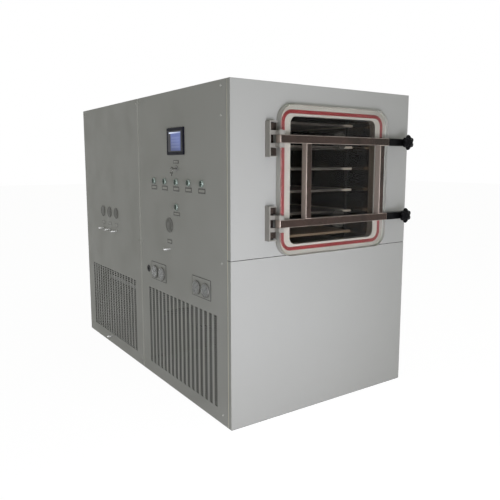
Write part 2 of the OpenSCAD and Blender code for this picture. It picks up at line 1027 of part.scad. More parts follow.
module touch_panel_case() {
    body_w = touch_w - 2 * touch_body_inset;
    body_h = touch_h - 2 * touch_body_inset;
    color([0.1, 0.1, 0.13]) difference() {
        union() {
            out_left(touch_y, touch_z, seat)
                linear_extrude(height = touch_proud)
                    rounded_rect(touch_h, touch_w, touch_r);
            translate([side_x + touch_body_d / 2 - seat - 1, touch_y, touch_z])
                cube([touch_body_d, body_w, body_h], center = true);
        }
        translate([side_x - touch_proud, touch_y, touch_z])
            cube([2 * screen_t, screen_w + 2 * seat, screen_h + 2 * seat], center = true);
    }
}

module touch_screen() {
    color([0.25, 0.3, 0.75])
        translate([side_x - touch_proud + screen_t / 2 - seat, touch_y, touch_z])
            cube([screen_t, screen_w, screen_h], center = true);
}

module button_collars() {
    bore_r = cap_d / 2 + move_gap;
    color("silver")
        for (p = button_places)
            out_left(p[0], p[1])
                difference() {
                    union() {
                        translate([0, 0, seat])
                            cylinder(d = collar_d, h = collar_proud);
                        translate([0, 0, -collar_depth])
                            cylinder(d = collar_barrel_d, h = collar_depth + 1);
                    }
                    translate([0, 0, -cap_depth - press_travel - move_gap])
                        cylinder(r = bore_r, h = collar_depth + collar_proud);
                }
}

module button_cap(i) {
    p = button_places[i];
    color("limegreen")
        out_left(p[0], p[1], -cap_depth)
            cylinder(d = cap_d, h = cap_depth + cap_proud);
}

module button_1() {
    button_cap(0);
}

module button_2() {
    button_cap(1);
}

module button_3() {
    button_cap(2);
}

module button_4() {
    button_cap(3);
}

module button_5() {
    button_cap(4);
}

module button_6() {
    button_cap(5);
}

module key_lock() {
    color("silver")
        out_left(lock_y, lock_z)
            difference() {
                union() {
                    translate([0, 0, seat])
                        cylinder(r = lock_ring_r, h = lock_proud);
                    translate([0, 0, -lock_depth])
                        cylinder(r = lock_barrel_r, h = lock_depth + 1);
                }
                translate([0, 0, -key_blade_in - 2])
                    cylinder(r = key_bore_r, h = lock_depth + lock_proud);
            }
}

// flat key: its bow's centre at the origin, its blade down to -blade_l, a hole in the bow
module flat_key(blade_l, hole_at) {
    rotate([90, 0, 0])
        translate([0, 0, -key_t / 2])
            linear_extrude(height = key_t)
                difference() {
                    union() {
                        translate([-key_blade_w / 2, -blade_l])
                            square([key_blade_w, blade_l]);
                        circle(r = bow_r);
                    }
                    translate(hole_at)
                        circle(r = bow_hole_r);
                }
}

// the key in the lock stands out of the side, its bow's hole low on the outer side
module key() {
    color("silver")
        out_left(lock_y, lock_z, bow_centre)
            flat_key(bow_centre + key_blade_in, [-bow_hole_drop, bow_hole_drop]);
}

ring_x = side_x - bow_centre - bow_hole_drop;
ring_top_wire_z = lock_z - bow_hole_drop - ring_drop;
ring_centre_z = ring_top_wire_z - ring_r;

// wire ring with the spare key hanging from it
module key_ring() {
    spare_z = ring_centre_z - ring_r - ring_drop - spare_bow_drop;
    color("silver") {
        translate([ring_x, lock_y, ring_centre_z])
            rotate([0, 90, 0])
                rotate_extrude()
                    translate([ring_r, 0])
                        circle(r = ring_wire_r, $fn = 24);
        translate([ring_x, lock_y, spare_z])
            flat_key(spare_blade_l, [0, spare_bow_drop]);
    }
}

module label_plate(y, z, size) {
    out_left(y, z, seat)
        translate([0, 0, label_t / 2])
            cube([size[1], size[0], label_t], center = true);
}

module label_plates() {
    color("whitesmoke") {
        label_plate(touch_y, touch_z - touch_h / 2 - 36, touch_label);
        for (i = [0:4])
            label_plate(button_places[i][0], button_z - 36, plate_label);
        label_plate(button_y, low_button_z - 36, low_label);
        label_plate(port_front_y, stub_front_z + port_label_rise, port_label);
        for (y = port_rear_y)
            label_plate(y, stub_rear_z + port_label_rise, port_label);
    }
}

module port_cap(y, z, d) {
    out_left(y, z, seat) {
        cylinder(d = d, h = port_cap_t);
        translate([0, 0, -port_plug_t])
            cylinder(d = d - 13, h = port_plug_t + 1);
    }
}

module port_caps() {
    color([0.3, 0.3, 0.3]) {
        port_cap(port_front_y, port_front_z, port_front_d);
        for (y = port_rear_y)
            port_cap(y, port_rear_z, port_rear_d);
    }
}

module pipe_stub(y, z) {
    out_left(y, z, -stub_in)
        difference() {
            union() {
                cylinder(r = stub_r, h = stub_in + stub_l);
                translate([0, 0, stub_in - sheet - seat - 4])
                    cylinder(r = stub_flange_r, h = 4);
            }
            translate([0, 0, -over])
                cylinder(r = stub_r - 2, h = stub_in + stub_l + 2 * over);
        }
}

module pipe_stubs() {
    color("silver") {
        pipe_stub(port_front_y, stub_front_z);
        for (y = port_rear_y)
            pipe_stub(y, stub_rear_z);
        pipe_stub(drain_y, drain_z);
    }
}

module gauge_plates() {
    color("gainsboro")
        for (i = [0:1])
            difference() {
                out_left(gauge_plate_y[i], gauge_plate_z, seat)
                    linear_extrude(height = gauge_plate_t)
                        rounded_rect(gauge_plate[1], gauge_plate[0], 4);
                for (p = gauge_places)
                    out_left(p[0], p[1], -over)
                        cylinder(r = gauge_body_r + 0.5, h = gauge_plate_t + 3);
            }
}

gauge_base = gauge_plate_t + 2 * seat;
gauge_floor = gauge_base + gauge_ring_h - 7;

module gauge_cases() {
    color("silver")
        for (p = gauge_places)
            out_left(p[0], p[1])
                difference() {
                    union() {
                        translate([0, 0, gauge_base])
                            cylinder(d = gauge_d, h = gauge_ring_h);
                        translate([0, 0, -gauge_body_l])
                            cylinder(r = gauge_body_r, h = gauge_body_l + gauge_base + 1);
                    }
                    translate([0, 0, gauge_floor])
                        cylinder(r = gauge_cup_r, h = gauge_ring_h);
                    translate([0, 0, gauge_base + gauge_ring_h - gauge_glass_t - seat])
                        cylinder(r = gauge_cup_r + 2, h = gauge_ring_h);
                    translate([0, 0, gauge_floor - 6])
                        cylinder(r = spindle_r + turn_gap, h = 10);
                }
}

module gauge_glasses() {
    color([0.9, 0.95, 1, 0.4])
        for (p = gauge_places)
            out_left(p[0], p[1], gauge_base + gauge_ring_h - gauge_glass_t)
                cylinder(r = gauge_cup_r + 2 - seat, h = gauge_glass_t);
}

module gauge_needle(i) {
    p = gauge_places[i];
    color("black")
        out_left(p[0], p[1], gauge_floor + 1)
            rotate(-45) {
                translate([-8, -needle_w / 2, 0])
                    cube([needle_l + 8, needle_w, needle_t]);
                translate([0, 0, 0])
                    cylinder(r = 4, h = 2);
                translate([0, 0, -6])
                    cylinder(r = spindle_r, h = 7);
            }
}

module needle_1() {
    gauge_needle(0);
}

module needle_2() {
    gauge_needle(1);
}

module needle_3() {
    gauge_needle(2);
}

module needle_4() {
    gauge_needle(3);
}

module cable_grommet() {
    color("black")
        out_left(grommet_y, grommet_z)
            difference() {
                union() {
                    translate([0, 0, seat])
                        cylinder(r = grommet_r, h = 3);
                    translate([0, 0, -sheet - 2])
                        cylinder(r = grommet_r - 4 - seat, h = sheet + 4);
                    translate([0, 0, -sheet - seat - 3])
                        cylinder(r = grommet_r, h = 3);
                }
                translate([0, 0, -20])
                    cylinder(r = grommet_hole_r, h = 40);
            }
}

// ---------- cold trap ----------

module along_y(x, y, z) {
    translate([x, y, z])
        rotate([-90, 0, 0])
            children();
}

module vapour_duct() {
    y0 = chamber_back_y + seat;
    y1 = trap_y - seat;
    color("silver")
        along_y(door_x, y0, door_z)
            difference() {
                union() {
                    cylinder(r = duct_r, h = y1 - y0);
                    cylinder(r = duct_flange_r, h = duct_flange_t);
                    translate([0, 0, y1 - y0 - duct_flange_t])
                        cylinder(r = duct_flange_r, h = duct_flange_t);
                }
                translate([0, 0, -over])
                    cylinder(r = duct_r - duct_wall, h = y1 - y0 + 2 * over);
            }
}

module cold_trap_shell() {
    color("silver") difference() {
        union() {
            along_y(door_x, trap_y, door_z)
                cylinder(d = trap_d, h = trap_l);
            for (y = saddle_ys)
                translate([door_x - saddle_w / 2, y - saddle_t / 2, ring_top_z + seat])
                    cube([saddle_w, saddle_t, door_z - trap_d / 2 + 60 - ring_top_z]);
        }
        along_y(door_x, trap_y + trap_head_t, door_z)
            cylinder(r = trap_d / 2 - trap_wall, h = trap_l - 2 * trap_head_t);
        along_y(door_x, trap_y - over, door_z)
            cylinder(r = duct_r - duct_wall, h = trap_head_t + 2 * over);
        along_y(door_x, trap_y + trap_l / 2, door_z + coil_r)
            cylinder(r = header_r + seat, h = trap_l);
    }
}

module trap_coil() {
    first_y = trap_y + trap_head_t + 60;
    color("chocolate") {
        for (i = [0:coil_turns - 1])
            along_y(door_x, first_y + i * coil_pitch, door_z)
                rotate_extrude()
                    translate([coil_r, 0])
                        circle(r = coil_tube_r, $fn = 48);
        along_y(door_x, first_y - 20, door_z + coil_r)
            cylinder(r = header_r, h = trap_y + trap_l + 60 - first_y + 20);
    }
}

// ---------- machinery ----------

module compressor(x, y) {
    translate([x, y, floor_top_z + seat]) {
        translate([0, 0, foot_t / 2])
            cube([compressor_d + 40, compressor_d + 40, foot_t], center = true);
        translate([0, 0, foot_t - 1])
            cylinder(d = compressor_d, h = compressor_h - 40);
        translate([0, 0, foot_t + compressor_h - 42])
            cylinder(d1 = compressor_d, d2 = compressor_d * 0.6, h = 42);
        translate([compressor_d * 0.2, 0, foot_t + compressor_h - 20])
            cylinder(r = 12, h = 60);
    }
}

module compressors() {
    color([0.15, 0.15, 0.17])
        for (y = compressor_ys)
            compressor(compressor_x, y);
}

// finned coil with its air shroud; the fan turns in the shroud's round mouth
module condenser() {
    z0 = floor_top_z + seat;
    inner_w = condenser_w - 40;
    shroud_x = condenser_x + condenser_t;
    color("silver") difference() {
        union() {
            for (s = [0, 1])
                translate([condenser_x, condenser_y + s * (condenser_w - 20), z0])
                    cube([condenser_t, 20, condenser_h]);
            for (s = [0, 1])
                translate([condenser_x, condenser_y + 10, z0 + s * (condenser_h - 20)])
                    cube([condenser_t, condenser_w - 20, 20]);
            for (i = [1:fin_count])
                translate([condenser_x + 5, condenser_y + 20 + i * inner_w / (fin_count + 1), z0 + 10])
                    cube([condenser_t - 10, fin_t, condenser_h - 20]);
            translate([shroud_x - 1, condenser_y, z0])
                cube([shroud_depth + 1, condenser_w, condenser_h]);
        }
        translate([shroud_x - 1 - over, condenser_y + 20, z0 + 20])
            cube([shroud_depth + 1 + over - shroud_t, inner_w, condenser_h - 40]);
        translate([shroud_x, fan_y, fan_z])
            rotate([0, 90, 0])
                cylinder(r = fan_d / 2 + 6, h = shroud_depth + 10);
    }
}

fan_x = condenser_x + condenser_t + shroud_depth - 40;

module fan() {
    color("black")
        translate([fan_x, fan_y, fan_z])
            rotate([0, 90, 0])
                difference() {
                    union() {
                        cylinder(r = fan_hub_r, h = fan_hub_h);
                        for (i = [0:fan_blades - 1])
                            rotate(i * 360 / fan_blades)
                                intersection() {
                                    translate([(fan_d / 2) / 2, 0, fan_hub_h / 2])
                                        rotate([30, 0, 0])
                                            cube([fan_d / 2, blade_chord * 0.8, blade_t], center = true);
                                    translate([0, 0, -over])
                                        cylinder(r = fan_d / 2, h = fan_hub_h + 2 * over);
                                }
                    }
                    translate([0, 0, 10])
                        cylinder(r = shaft_r + turn_gap, h = fan_hub_h);
                }
}

module fan_motor() {
    motor_x = fan_x + fan_hub_h + 12;
    arm_l = fan_d / 2 + 30;
    arm_end_x = condenser_x + condenser_t + shroud_depth + seat;
    color("darkslategray")
        translate([0, fan_y, fan_z]) {
            translate([motor_x, 0, 0])
                rotate([0, 90, 0])
                    cylinder(r = motor_r, h = motor_l);
            translate([motor_x - 45, 0, 0])
                rotate([0, 90, 0])
                    cylinder(r = shaft_r, h = 50);
            // cross arms out to pads that meet the shroud
            for (s = [-1, 1]) {
                translate([motor_x + 40, 0, s * arm_l / 2])
                    cube([motor_arm_t, 30, arm_l], center = true);
                translate([(arm_end_x + motor_x + 45) / 2, 0, s * (arm_l - 8)])
                    cube([motor_x + 45 - arm_end_x, 30, 16], center = true);
            }
        }
}

module vacuum_pump() {
    z0 = floor_top_z + seat;
    color([0.2, 0.25, 0.35])
        translate([pump_x, pump_y, z0]) {
            translate([-230, -110, 0])
                cube([460, 220, 20]);
            translate([-220, -90, 19])
                cube([200, 180, 240]);
            translate([-30, 0, 130])
                rotate([0, 90, 0])
                    cylinder(r = 85, h = 250);
            translate([20, -60, 19])
                cube([140, 120, 60]);
            translate([-160, 0, 250])
                cylinder(r = 25, h = 70);
        }
}

// silicone oil tank with its circulation pump on one base
module oil_unit() {
    inner = [for (s = tank_size) s - 2 * tank_wall];
    color("silver")
        translate([tank_x, tank_y, floor_top_z + seat])
            difference() {
                union() {
                    translate([-tank_size[0] / 2, -tank_size[1] / 2, 0])
                        cube(tank_size);
                    translate([-tank_size[0] / 2 - 220, -100, 0])
                        cube([240, 200, 12]);
                    translate([-tank_size[0] / 2 - 190, 0, 80])
                        rotate([0, 90, 0])
                            cylinder(r = 60, h = 200);
                    translate([-tank_size[0] / 2 - 160, -50, 10])
                        cube([120, 100, 40]);
                    translate([60, 0, tank_size[2] - 1])
                        cylinder(r = neck_r, h = 25);
                }
                translate([-inner[0] / 2, -inner[1] / 2, tank_wall])
                    cube(inner);
                translate([60, 0, tank_size[2] - 2 * tank_wall])
                    cylinder(r = neck_r - tank_wall, h = 50);
            }
}

module electrical_box() {
    color("gainsboro") difference() {
        translate([side_x + 62, box_y, ring_top_z + seat])
            cube(box_size);
        translate([side_x + 62 + 2, box_y + 2, ring_top_z + seat + 2])
            cube([box_size[0], box_size[1] - 4, box_size[2] - 4]);
    }
}

// ---------- nodes ----------

front_frame();
rear_frame();
left_front_panel();
left_rear_panel();
right_front_panel();
right_rear_panel();
front_upper_panel();
front_lower_panel();
front_top_panel();
rear_top_panel();
back_panel();
panel_screws();
chamber_shell();
chamber_flange();
door_gasket();
shelves();
shelf_posts();
oil_headers();
door_plate();
door_frame();
bar_ends();
plate_clamps();
hinge_brackets();
hinge_pins();
bracket_bolts();
upper_knob();
lower_knob();
touch_panel_case();
touch_screen();
button_collars();
button_1();
button_2();
button_3();
button_4();
button_5();
button_6();
key_lock();
key();
key_ring();
label_plates();
port_caps();
pipe_stubs();
gauge_plates();
gauge_cases();
gauge_glasses();
needle_1();
needle_2();
needle_3();
needle_4();
cable_grommet();
vapour_duct();
cold_trap_shell();
trap_coil();
compressors();
condenser();
fan();
fan_motor();
vacuum_pump();
oil_unit();
electrical_box();
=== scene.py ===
import math

import bmesh
import bpy
import numpy as np
from bpy.props import FloatProperty, FloatVectorProperty, IntProperty, PointerProperty
from mathutils import Matrix, Vector


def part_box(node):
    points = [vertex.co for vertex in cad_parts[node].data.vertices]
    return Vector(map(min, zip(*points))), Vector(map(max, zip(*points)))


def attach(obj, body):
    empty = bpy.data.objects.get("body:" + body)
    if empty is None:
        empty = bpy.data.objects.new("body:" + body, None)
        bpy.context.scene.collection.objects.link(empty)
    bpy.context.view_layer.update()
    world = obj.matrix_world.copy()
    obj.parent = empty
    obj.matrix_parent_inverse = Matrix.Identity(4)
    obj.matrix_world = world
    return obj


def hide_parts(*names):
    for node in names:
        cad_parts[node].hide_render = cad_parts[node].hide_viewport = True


bl_info = {
    "name": "Freeze Dryer Finisher",
    "version": (1, 0, 0),
    "blender": (4, 5, 0),
    "location": "3D View > Sidebar > Freeze Dryer",
    "description": "Skins and finishes the freeze dryer's frame: door, knobs, controls, gauges and paint",
    "category": "Object",
}

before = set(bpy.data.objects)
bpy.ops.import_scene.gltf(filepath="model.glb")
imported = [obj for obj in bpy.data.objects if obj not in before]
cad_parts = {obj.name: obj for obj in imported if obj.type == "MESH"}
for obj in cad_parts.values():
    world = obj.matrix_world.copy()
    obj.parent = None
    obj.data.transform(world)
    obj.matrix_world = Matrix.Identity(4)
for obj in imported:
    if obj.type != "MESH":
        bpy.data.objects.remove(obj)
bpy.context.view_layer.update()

# Steps round a turned piece, the sharpest edge that is still smooth, and the area in square metres
# from which a face is flat.
SEGMENTS = 64
SMOOTH_ANGLE = math.radians(35)
FLAT_AREA = 3e-4

# Pieces on the left side start this far off the side panels' face.
SEAT = 0.0004

# Door: corner radii of plate and gasket, the gasket's bead, and the stiles between the two bars. The
# stiles stand a little left of the middle between hinge pins and knobs, and their ends are sunk in
# the bars.
PLATE_CORNER = 0.08
GASKET_CORNER = 0.06
GASKET_WIDTH = 0.018
GASKET_LIP = 0.003
STILE_WIDTH = 0.032
STILE_OFFSET = 0.252
STILES_LEFT = 0.006
STILE_SUNK = 0.002

# Gauge dials: tick marks, every fifth one long, and the angle that they are spread over.
TICKS = 31
LONG_TICK_EVERY = 5
DIAL_SWEEP = 270

# Where finishes change. Brackets: how far their front stands before the cabinet, and from where to where
# a bolt cell lies above and below a bracket's middle, where shade is painted. Gauge plates: width of the
# dark line of painted shade round them.
BRACKET_DEPTH = 0.037
BOLT_CELL = (0.04, 0.078)
GAP_SHADE_WIDTH = 0.003

# Painted highlight on the edge of the front returns: its width, and the heights where it is gone and at
# its full strength.
EDGE_WIDTH = 0.007
EDGE_FADE = (1.75, 1.45)

# The gap between the modules: the width of the strips of painted highlight beside it, and how far to
# both sides and how deep the frames show in it, where their pale colour is painted light.
SEAM_STRIP = 0.0065
SEAM_SHOWS = 0.01
SEAM_DEPTH = 0.03

# Screen page and label face as lowest and highest (across, up) on the piece's own UV map.
SCREEN_TOP_BAR = ((0.08, 0.87), (0.91, 0.93))
SCREEN_PAGE = ((0.2, 0.05), (0.91, 0.93))
SCREEN_ROWS = ((0.26, 0.14), (0.85, 0.7))
LABEL_FACE = ((0.1, 0.28), (0.9, 0.72))

# Painted highlights along a shelf, standing in for the bright reflections on its front edges, as (share
# of the way across, how bright).
SHELF_HIGHLIGHTS = (
    (0.0, 0.5), (0.12, 0.35), (0.22, 0.06), (0.5, 0.08), (0.6, 0.02), (0.84, 0.04), (0.88, 0.85),
    (1.0, 0.8))

# How noise is squeezed along X, Y and Z to make brush lines: least along the lines.
ALONG_X = (6.0, 900.0, 900.0)
ALONG_Y = (900.0, 6.0, 900.0)
ALONG_Z = (900.0, 900.0, 6.0)
WALL_LINES = (60.0, 60.0, 2.0)
LABEL_LINES = (900.0, 30.0, 900.0)

DUST_COLOR = (0.42, 0.39, 0.34)
WHITE = (1.0, 1.0, 1.0)


# ---------- reading the frame ----------

def corners(node):
    """Lowest and highest corner of a CAD node as numpy arrays."""
    return np.array(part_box(node))


def solids(node):
    """Lowest and highest corners of each separate solid of a CAD node, as an (n, 2, 3) array.

    Corner points that coincide are joined, then every triangle hands the lowest label of its three
    points to all three until nothing changes, so each solid ends with one label.
    """
    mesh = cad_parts[node].data
    points = np.empty(len(mesh.vertices) * 3)
    mesh.vertices.foreach_get("co", points)
    mesh.calc_loop_triangles()
    triangles = np.empty(len(mesh.loop_triangles) * 3, dtype=np.int64)
    mesh.loop_triangles.foreach_get("vertices", triangles)
    welded, same = np.unique(np.round(points.reshape(-1, 3), 6), axis=0, return_inverse=True)
    triangles = same.reshape(-1)[triangles].reshape(-1, 3)
    label = np.arange(len(welded))
    while True:
        lowest = label[triangles].min(axis=1)
        spread = label.copy()
        np.minimum.at(spread, triangles.ravel(), np.repeat(lowest, 3))
        if np.array_equal(spread, label):
            break
        label = spread
    groups = [welded[label == one] for one in np.unique(label)]
    return np.array([[group.min(axis=0), group.max(axis=0)] for group in groups])


SIDE_X = corners("left_front_panel")[0][0]
FRONT_Y = corners("front_upper_panel")[0][1]
RETURN_BACK_Y = corners("front_upper_panel")[1][1]
SEAM_Y = (corners("left_front_panel")[1][1] + corners("left_rear_panel")[0][1]) / 2


# ---------- surfaces ----------

def placed(local, origin, out):
    """Local points turned so that their +Z runs along out, with local X along world up for a side
    facing piece and along +X for a front facing one, then moved to origin."""
    axes = {
        "left": np.array([[0, 0, 1], [0, 1, 0], [-1, 0, 0]], float),
        "right": np.array([[0, 0, 1], [0, -1, 0], [1, 0, 0]], float),
        "front": np.array([[1, 0, 0], [0, 0, 1], [0, -1, 0]], float),
        "back": np.array([[-1, 0, 0], [0, 0, 1], [0, 1, 0]], float),
    }[out]
    return local @ axes + np.asarray(origin, float)


def skin(rings, closed_profile=False):
    """Vertices and faces of a skin over rings of points, an (m, n, 3) array.

    Neighbouring rings are joined by quads that run right round. A closed profile also joins the last
    ring to the first; otherwise a fan to each end ring's middle closes the skin.
    """
    m, n = rings.shape[:2]
    steps = m if closed_profile else m - 1
    i, j = np.meshgrid(np.arange(steps), np.arange(n), indexing="ij")
    above, beside = (i + 1) % m, (j + 1) % n
    quads = np.stack([i * n + j, i * n + beside, above * n + beside, above * n + j], axis=-1)
    points = rings.reshape(-1, 3)
    faces = quads.reshape(-1, 4).tolist()
    if not closed_profile:
        middles = np.stack([rings[0].mean(axis=0), rings[-1].mean(axis=0)])
        k = np.arange(n)
        first = np.stack([np.full(n, m * n), (k + 1) % n, k], axis=-1)
        last_ring = (m - 1) * n
        last = np.stack([np.full(n, m * n + 1), last_ring + k, last_ring + (k + 1) % n], axis=-1)
        points = np.vstack([points, middles])
        faces += first.tolist() + last.tolist()
    return points, faces


def turned(profile, closed_profile=False, segments=SEGMENTS):
    """A profile of (radius, height) pairs carried round the local Z axis."""
    profile = np.asarray(profile, float)
    angle = np.linspace(0, 2 * math.pi, segments, endpoint=False)
    radius, height = profile[:, :1], profile[:, 1:]
    rings = np.stack(np.broadcast_arrays(radius * np.cos(angle), radius * np.sin(angle), height), axis=-1)
    return skin(rings, closed_profile)


def rounded_loop(width, height, radius, corner_steps=10):
    """Closed loop round a rectangle whose corners are quarter circles: each corner's circle centre plus
    radius times the direction, with the direction turning a quarter at every corner."""
    turn = np.linspace(0, math.pi / 2, corner_steps)
    start = np.arange(4)[:, None] * math.pi / 2
    angle = (start + turn).ravel()
    sign_x = np.repeat([1, -1, -1, 1], corner_steps)
    sign_y = np.repeat([1, 1, -1, -1], corner_steps)
    x = sign_x * (width / 2 - radius) + radius * np.cos(angle)
    y = sign_y * (height / 2 - radius) + radius * np.sin(angle)
    return np.stack([x, y], axis=-1)


def rounded_slab(width, height, radius, profile, closed_profile=False, corner_steps=10):
    """A profile of (inset, height) pairs carried round a rounded rectangle: every ring is the same
    rectangle made smaller by twice the inset, with its corner radius smaller by the inset."""
    rings = []
    for inset, level in profile:
        loop = rounded_loop(
            width - 2 * inset, height - 2 * inset, max(radius - inset, 0.0002), corner_steps)
        rings.append(np.column_stack([loop, np.full(len(loop), level)]))
    return skin(np.array(rings), closed_profile)


def edge_profile(low, high, rounding, steps=4):
    """(inset, height) pairs of a slab from low to high with both edges rounded by quarter circles."""
    turn = np.linspace(0, math.pi / 2, steps)
    bottom = np.column_stack([rounding * (1 - np.sin(turn)), low + rounding * (1 - np.cos(turn))])
    top = np.column_stack([rounding * (1 - np.cos(turn)), high - rounding * (1 - np.sin(turn))])
    return np.vstack([bottom, top])


def joined(parts):
    """Several (points, faces) surfaces as one."""
    points, faces, count = [], [], 0
    for one_points, one_faces in parts:
        points.append(one_points)
        faces += [[index + count for index in face] for face in one_faces]
        count += len(one_points)
    return np.vstack(points), faces


def box_bar(low, high, rounding, along):
    """A bar between two corners along one axis, its long edges and its end edges rounded: a rounded
    rectangle carried along the axis with a rounded edge profile."""
    low, high = np.asarray(low, float), np.asarray(high, float)
    middle, size = (low + high) / 2, high - low
    across = [axis for axis in range(3) if axis != along]
    points, faces = rounded_slab(
        size[across[0]], size[across[1]], rounding,
        edge_profile(-size[along] / 2, size[along] / 2, rounding, 3), corner_steps=5)
    moved = np.empty_like(points)
    moved[:, across[0]] = points[:, 0]
    moved[:, across[1]] = points[:, 1]
    moved[:, along] = points[:, 2]
    return moved + middle, faces


def build(name, surface, body, material, stands_for=(), face_uv=None, other=None):
    """Puts a (points, faces) surface in the scene as a piece that rides on a body. Its roundings are
    smooth, and its large faces flat, so that they don't bend the light at their edges. other is a second
    material with a function of the faces' normals that is true where it goes."""
    points, faces = surface
    mesh = bpy.data.meshes.new(name)
    mesh.from_pydata(np.asarray(points).tolist(), [], faces)
    work = bmesh.new()
    work.from_mesh(mesh)
    bmesh.ops.recalc_face_normals(work, faces=work.faces)
    work.to_mesh(mesh)
    work.free()
    mesh.set_sharp_from_angle(angle=SMOOTH_ANGLE)
    area = np.empty(len(mesh.polygons))
    mesh.polygons.foreach_get("area", area)
    mesh.polygons.foreach_set("use_smooth", area < FLAT_AREA)
    mesh.materials.append(material)
    if other:
        mesh.materials.append(other[0])
        normals = np.empty(len(mesh.polygons) * 3)
        mesh.polygons.foreach_get("normal", normals)
        chosen = other[1](normals.reshape(-1, 3))
        mesh.polygons.foreach_set("material_index", chosen.astype(np.int32))
    if face_uv is not None:
        layer = mesh.uv_layers.new(name="UVMap")
        index = np.empty(len(mesh.loops), dtype=np.int64)
        mesh.loops.foreach_get("vertex_index", index)
        layer.data.foreach_set("uv", np.asarray(face_uv, float)[index].ravel())
    piece = bpy.data.objects.new(name, mesh)
    bpy.context.scene.collection.objects.link(piece)
    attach(piece, body)
    if stands_for:
        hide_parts(*stands_for)


# ---------- shared shader groups ----------

def new_group(name, inputs, outputs):
    """A shader group with float or vector inputs and float outputs, and its two end nodes."""
    group = bpy.data.node_groups.new(name, "ShaderNodeTree")
    for label, kind, value in inputs:
        socket = group.interface.new_socket(name=label, in_out="INPUT", socket_type=kind)
        if value is not None:
            socket.default_value = value
    for label in outputs:
        group.interface.new_socket(name=label, in_out="OUTPUT", socket_type="NodeSocketFloat")
    start = group.nodes.new("NodeGroupInput")
    end = group.nodes.new("NodeGroupOutput")
    return group, start, end


def math_node(tree, operation, first, second=None, clamp=False):
    """A Math node fed by sockets or numbers; gives its output socket."""
    node = tree.nodes.new("ShaderNodeMath")
    node.operation = operation
    node.use_clamp = clamp
    for socket, value in zip(node.inputs, (first, second)):
        if value is None:
            continue
        if isinstance(value, (int, float)):
            socket.default_value = value
        else:
            tree.links.new(value, socket)
    return node.outputs[0]


def noise_node(tree, vector, scale, detail, roughness=0.55):
    """A Noise texture whose scale may be a number or a socket; gives its height socket."""
    node = tree.nodes.new("ShaderNodeTexNoise")
    tree.links.new(vector, node.inputs["Vector"])
    node.inputs["Detail"].default_value = detail
    node.inputs["Roughness"].default_value = roughness
    if isinstance(scale, (int, float)):
        node.inputs["Scale"].default_value = scale
    else:
        tree.links.new(scale, node.inputs["Scale"])
    return node.outputs[0]


def split_vector(tree, vector):
    """X, Y and Z sockets of a vector socket."""
    split = tree.nodes.new("ShaderNodeSeparateXYZ")
    tree.links.new(vector, split.inputs[0])
    return split.outputs


def map_range(tree, value, from_range=(0.0, 1.0), to_range=(0.0, 1.0)):
    """A socket mapped from one range to another and held inside it."""
    node = tree.nodes.new("ShaderNodeMapRange")
    tree.links.new(value, node.inputs["Value"])
    for label, (low, high) in (("From", from_range), ("To", to_range)):
        node.inputs[f"{label} Min"].default_value = low
        node.inputs[f"{label} Max"].default_value = high
    return node.outputs["Result"]


def make_grain_group():
    """Coarse cloudy tone and a fine height, both from noise on the given vector."""
    group, start, end = new_group(
        "Surface Grain",
        [("Vector", "NodeSocketVector", None), ("Cloud Scale", "NodeSocketFloat", 3.0),
         ("Grain Scale", "NodeSocketFloat", 400.0)],
        ["Cloud", "Grain"])
    cloud = noise_node(group, start.outputs["Vector"], start.outputs["Cloud Scale"], 5.0)
    grain = noise_node(group, start.outputs["Vector"], start.outputs["Grain Scale"], 2.0)
    group.links.new(cloud, end.inputs["Cloud"])
    group.links.new(grain, end.inputs["Grain"])
    return group


def make_brush_group():
    """Long thin lines, as brushed steel has, from noise squeezed across the stretch direction."""
    group, start, end = new_group(
        "Brush Lines",
        [("Vector", "NodeSocketVector", None), ("Stretch", "NodeSocketVector", (6.0, 900.0, 900.0))],
        ["Lines", "Patches"])
    stretch = group.nodes.new("ShaderNodeVectorMath")
    stretch.operation = "MULTIPLY"
    group.links.new(start.outputs["Vector"], stretch.inputs[0])
    group.links.new(start.outputs["Stretch"], stretch.inputs[1])
    lines = noise_node(group, stretch.outputs[0], 1.0, 3.0, 0.7)
    patches = noise_node(group, start.outputs["Vector"], 9.0, 3.0)
    group.links.new(lines, end.inputs["Lines"])
    group.links.new(patches, end.inputs["Patches"])
    return group


def make_dust_group():
    """Settled dust: strongest at the floor, fading upwards, broken up by noise."""
    group, start, end = new_group(
        "Settled Dust",
        [("Vector", "NodeSocketVector", None), ("Fade Height", "NodeSocketFloat", 0.35),
         ("Amount", "NodeSocketFloat", 0.3)],
        ["Dust"])
    height = split_vector(group, start.outputs["Vector"])["Z"]
    rise = math_node(group, "DIVIDE", height, start.outputs["Fade Height"], clamp=True)
    low = math_node(group, "SUBTRACT", 1.0, rise)
    speckle = noise_node(group, start.outputs["Vector"], 22.0, 6.0, 0.65)
    broken = math_node(group, "MULTIPLY", low, speckle)
    amount = math_node(group, "MULTIPLY", broken, start.outputs["Amount"], clamp=True)
    group.links.new(amount, end.inputs["Dust"])
    return group


def make_smear_group():
    """Handling marks: soft smears, cut off between two heights of the noise."""
    group, start, end = new_group(
        "Handling Marks",
        [("Vector", "NodeSocketVector", None), ("Scale", "NodeSocketFloat", 7.0)],
        ["Marks"])
    smear = noise_node(group, start.outputs["Vector"], start.outputs["Scale"], 8.0, 0.6)
    group.links.new(map_range(group, smear, from_range=(0.42, 0.66)), end.inputs["Marks"])
    return group


GROUP_MAKERS = {
    "grain": make_grain_group,
    "brush": make_brush_group,
    "dust": make_dust_group,
    "smear": make_smear_group,
}
groups = {}


def group_in(tree, kind, vector, **values):
    """Places a shared group in a material with its own values."""
    if kind not in groups:
        groups[kind] = GROUP_MAKERS[kind]()
    node = tree.nodes.new("ShaderNodeGroup")
    node.node_tree = groups[kind]
    tree.links.new(vector, node.inputs["Vector"])
    for label, value in values.items():
        node.inputs[label.replace("_", " ")].default_value = value
    return node


# ---------- materials ----------

finishes = {}


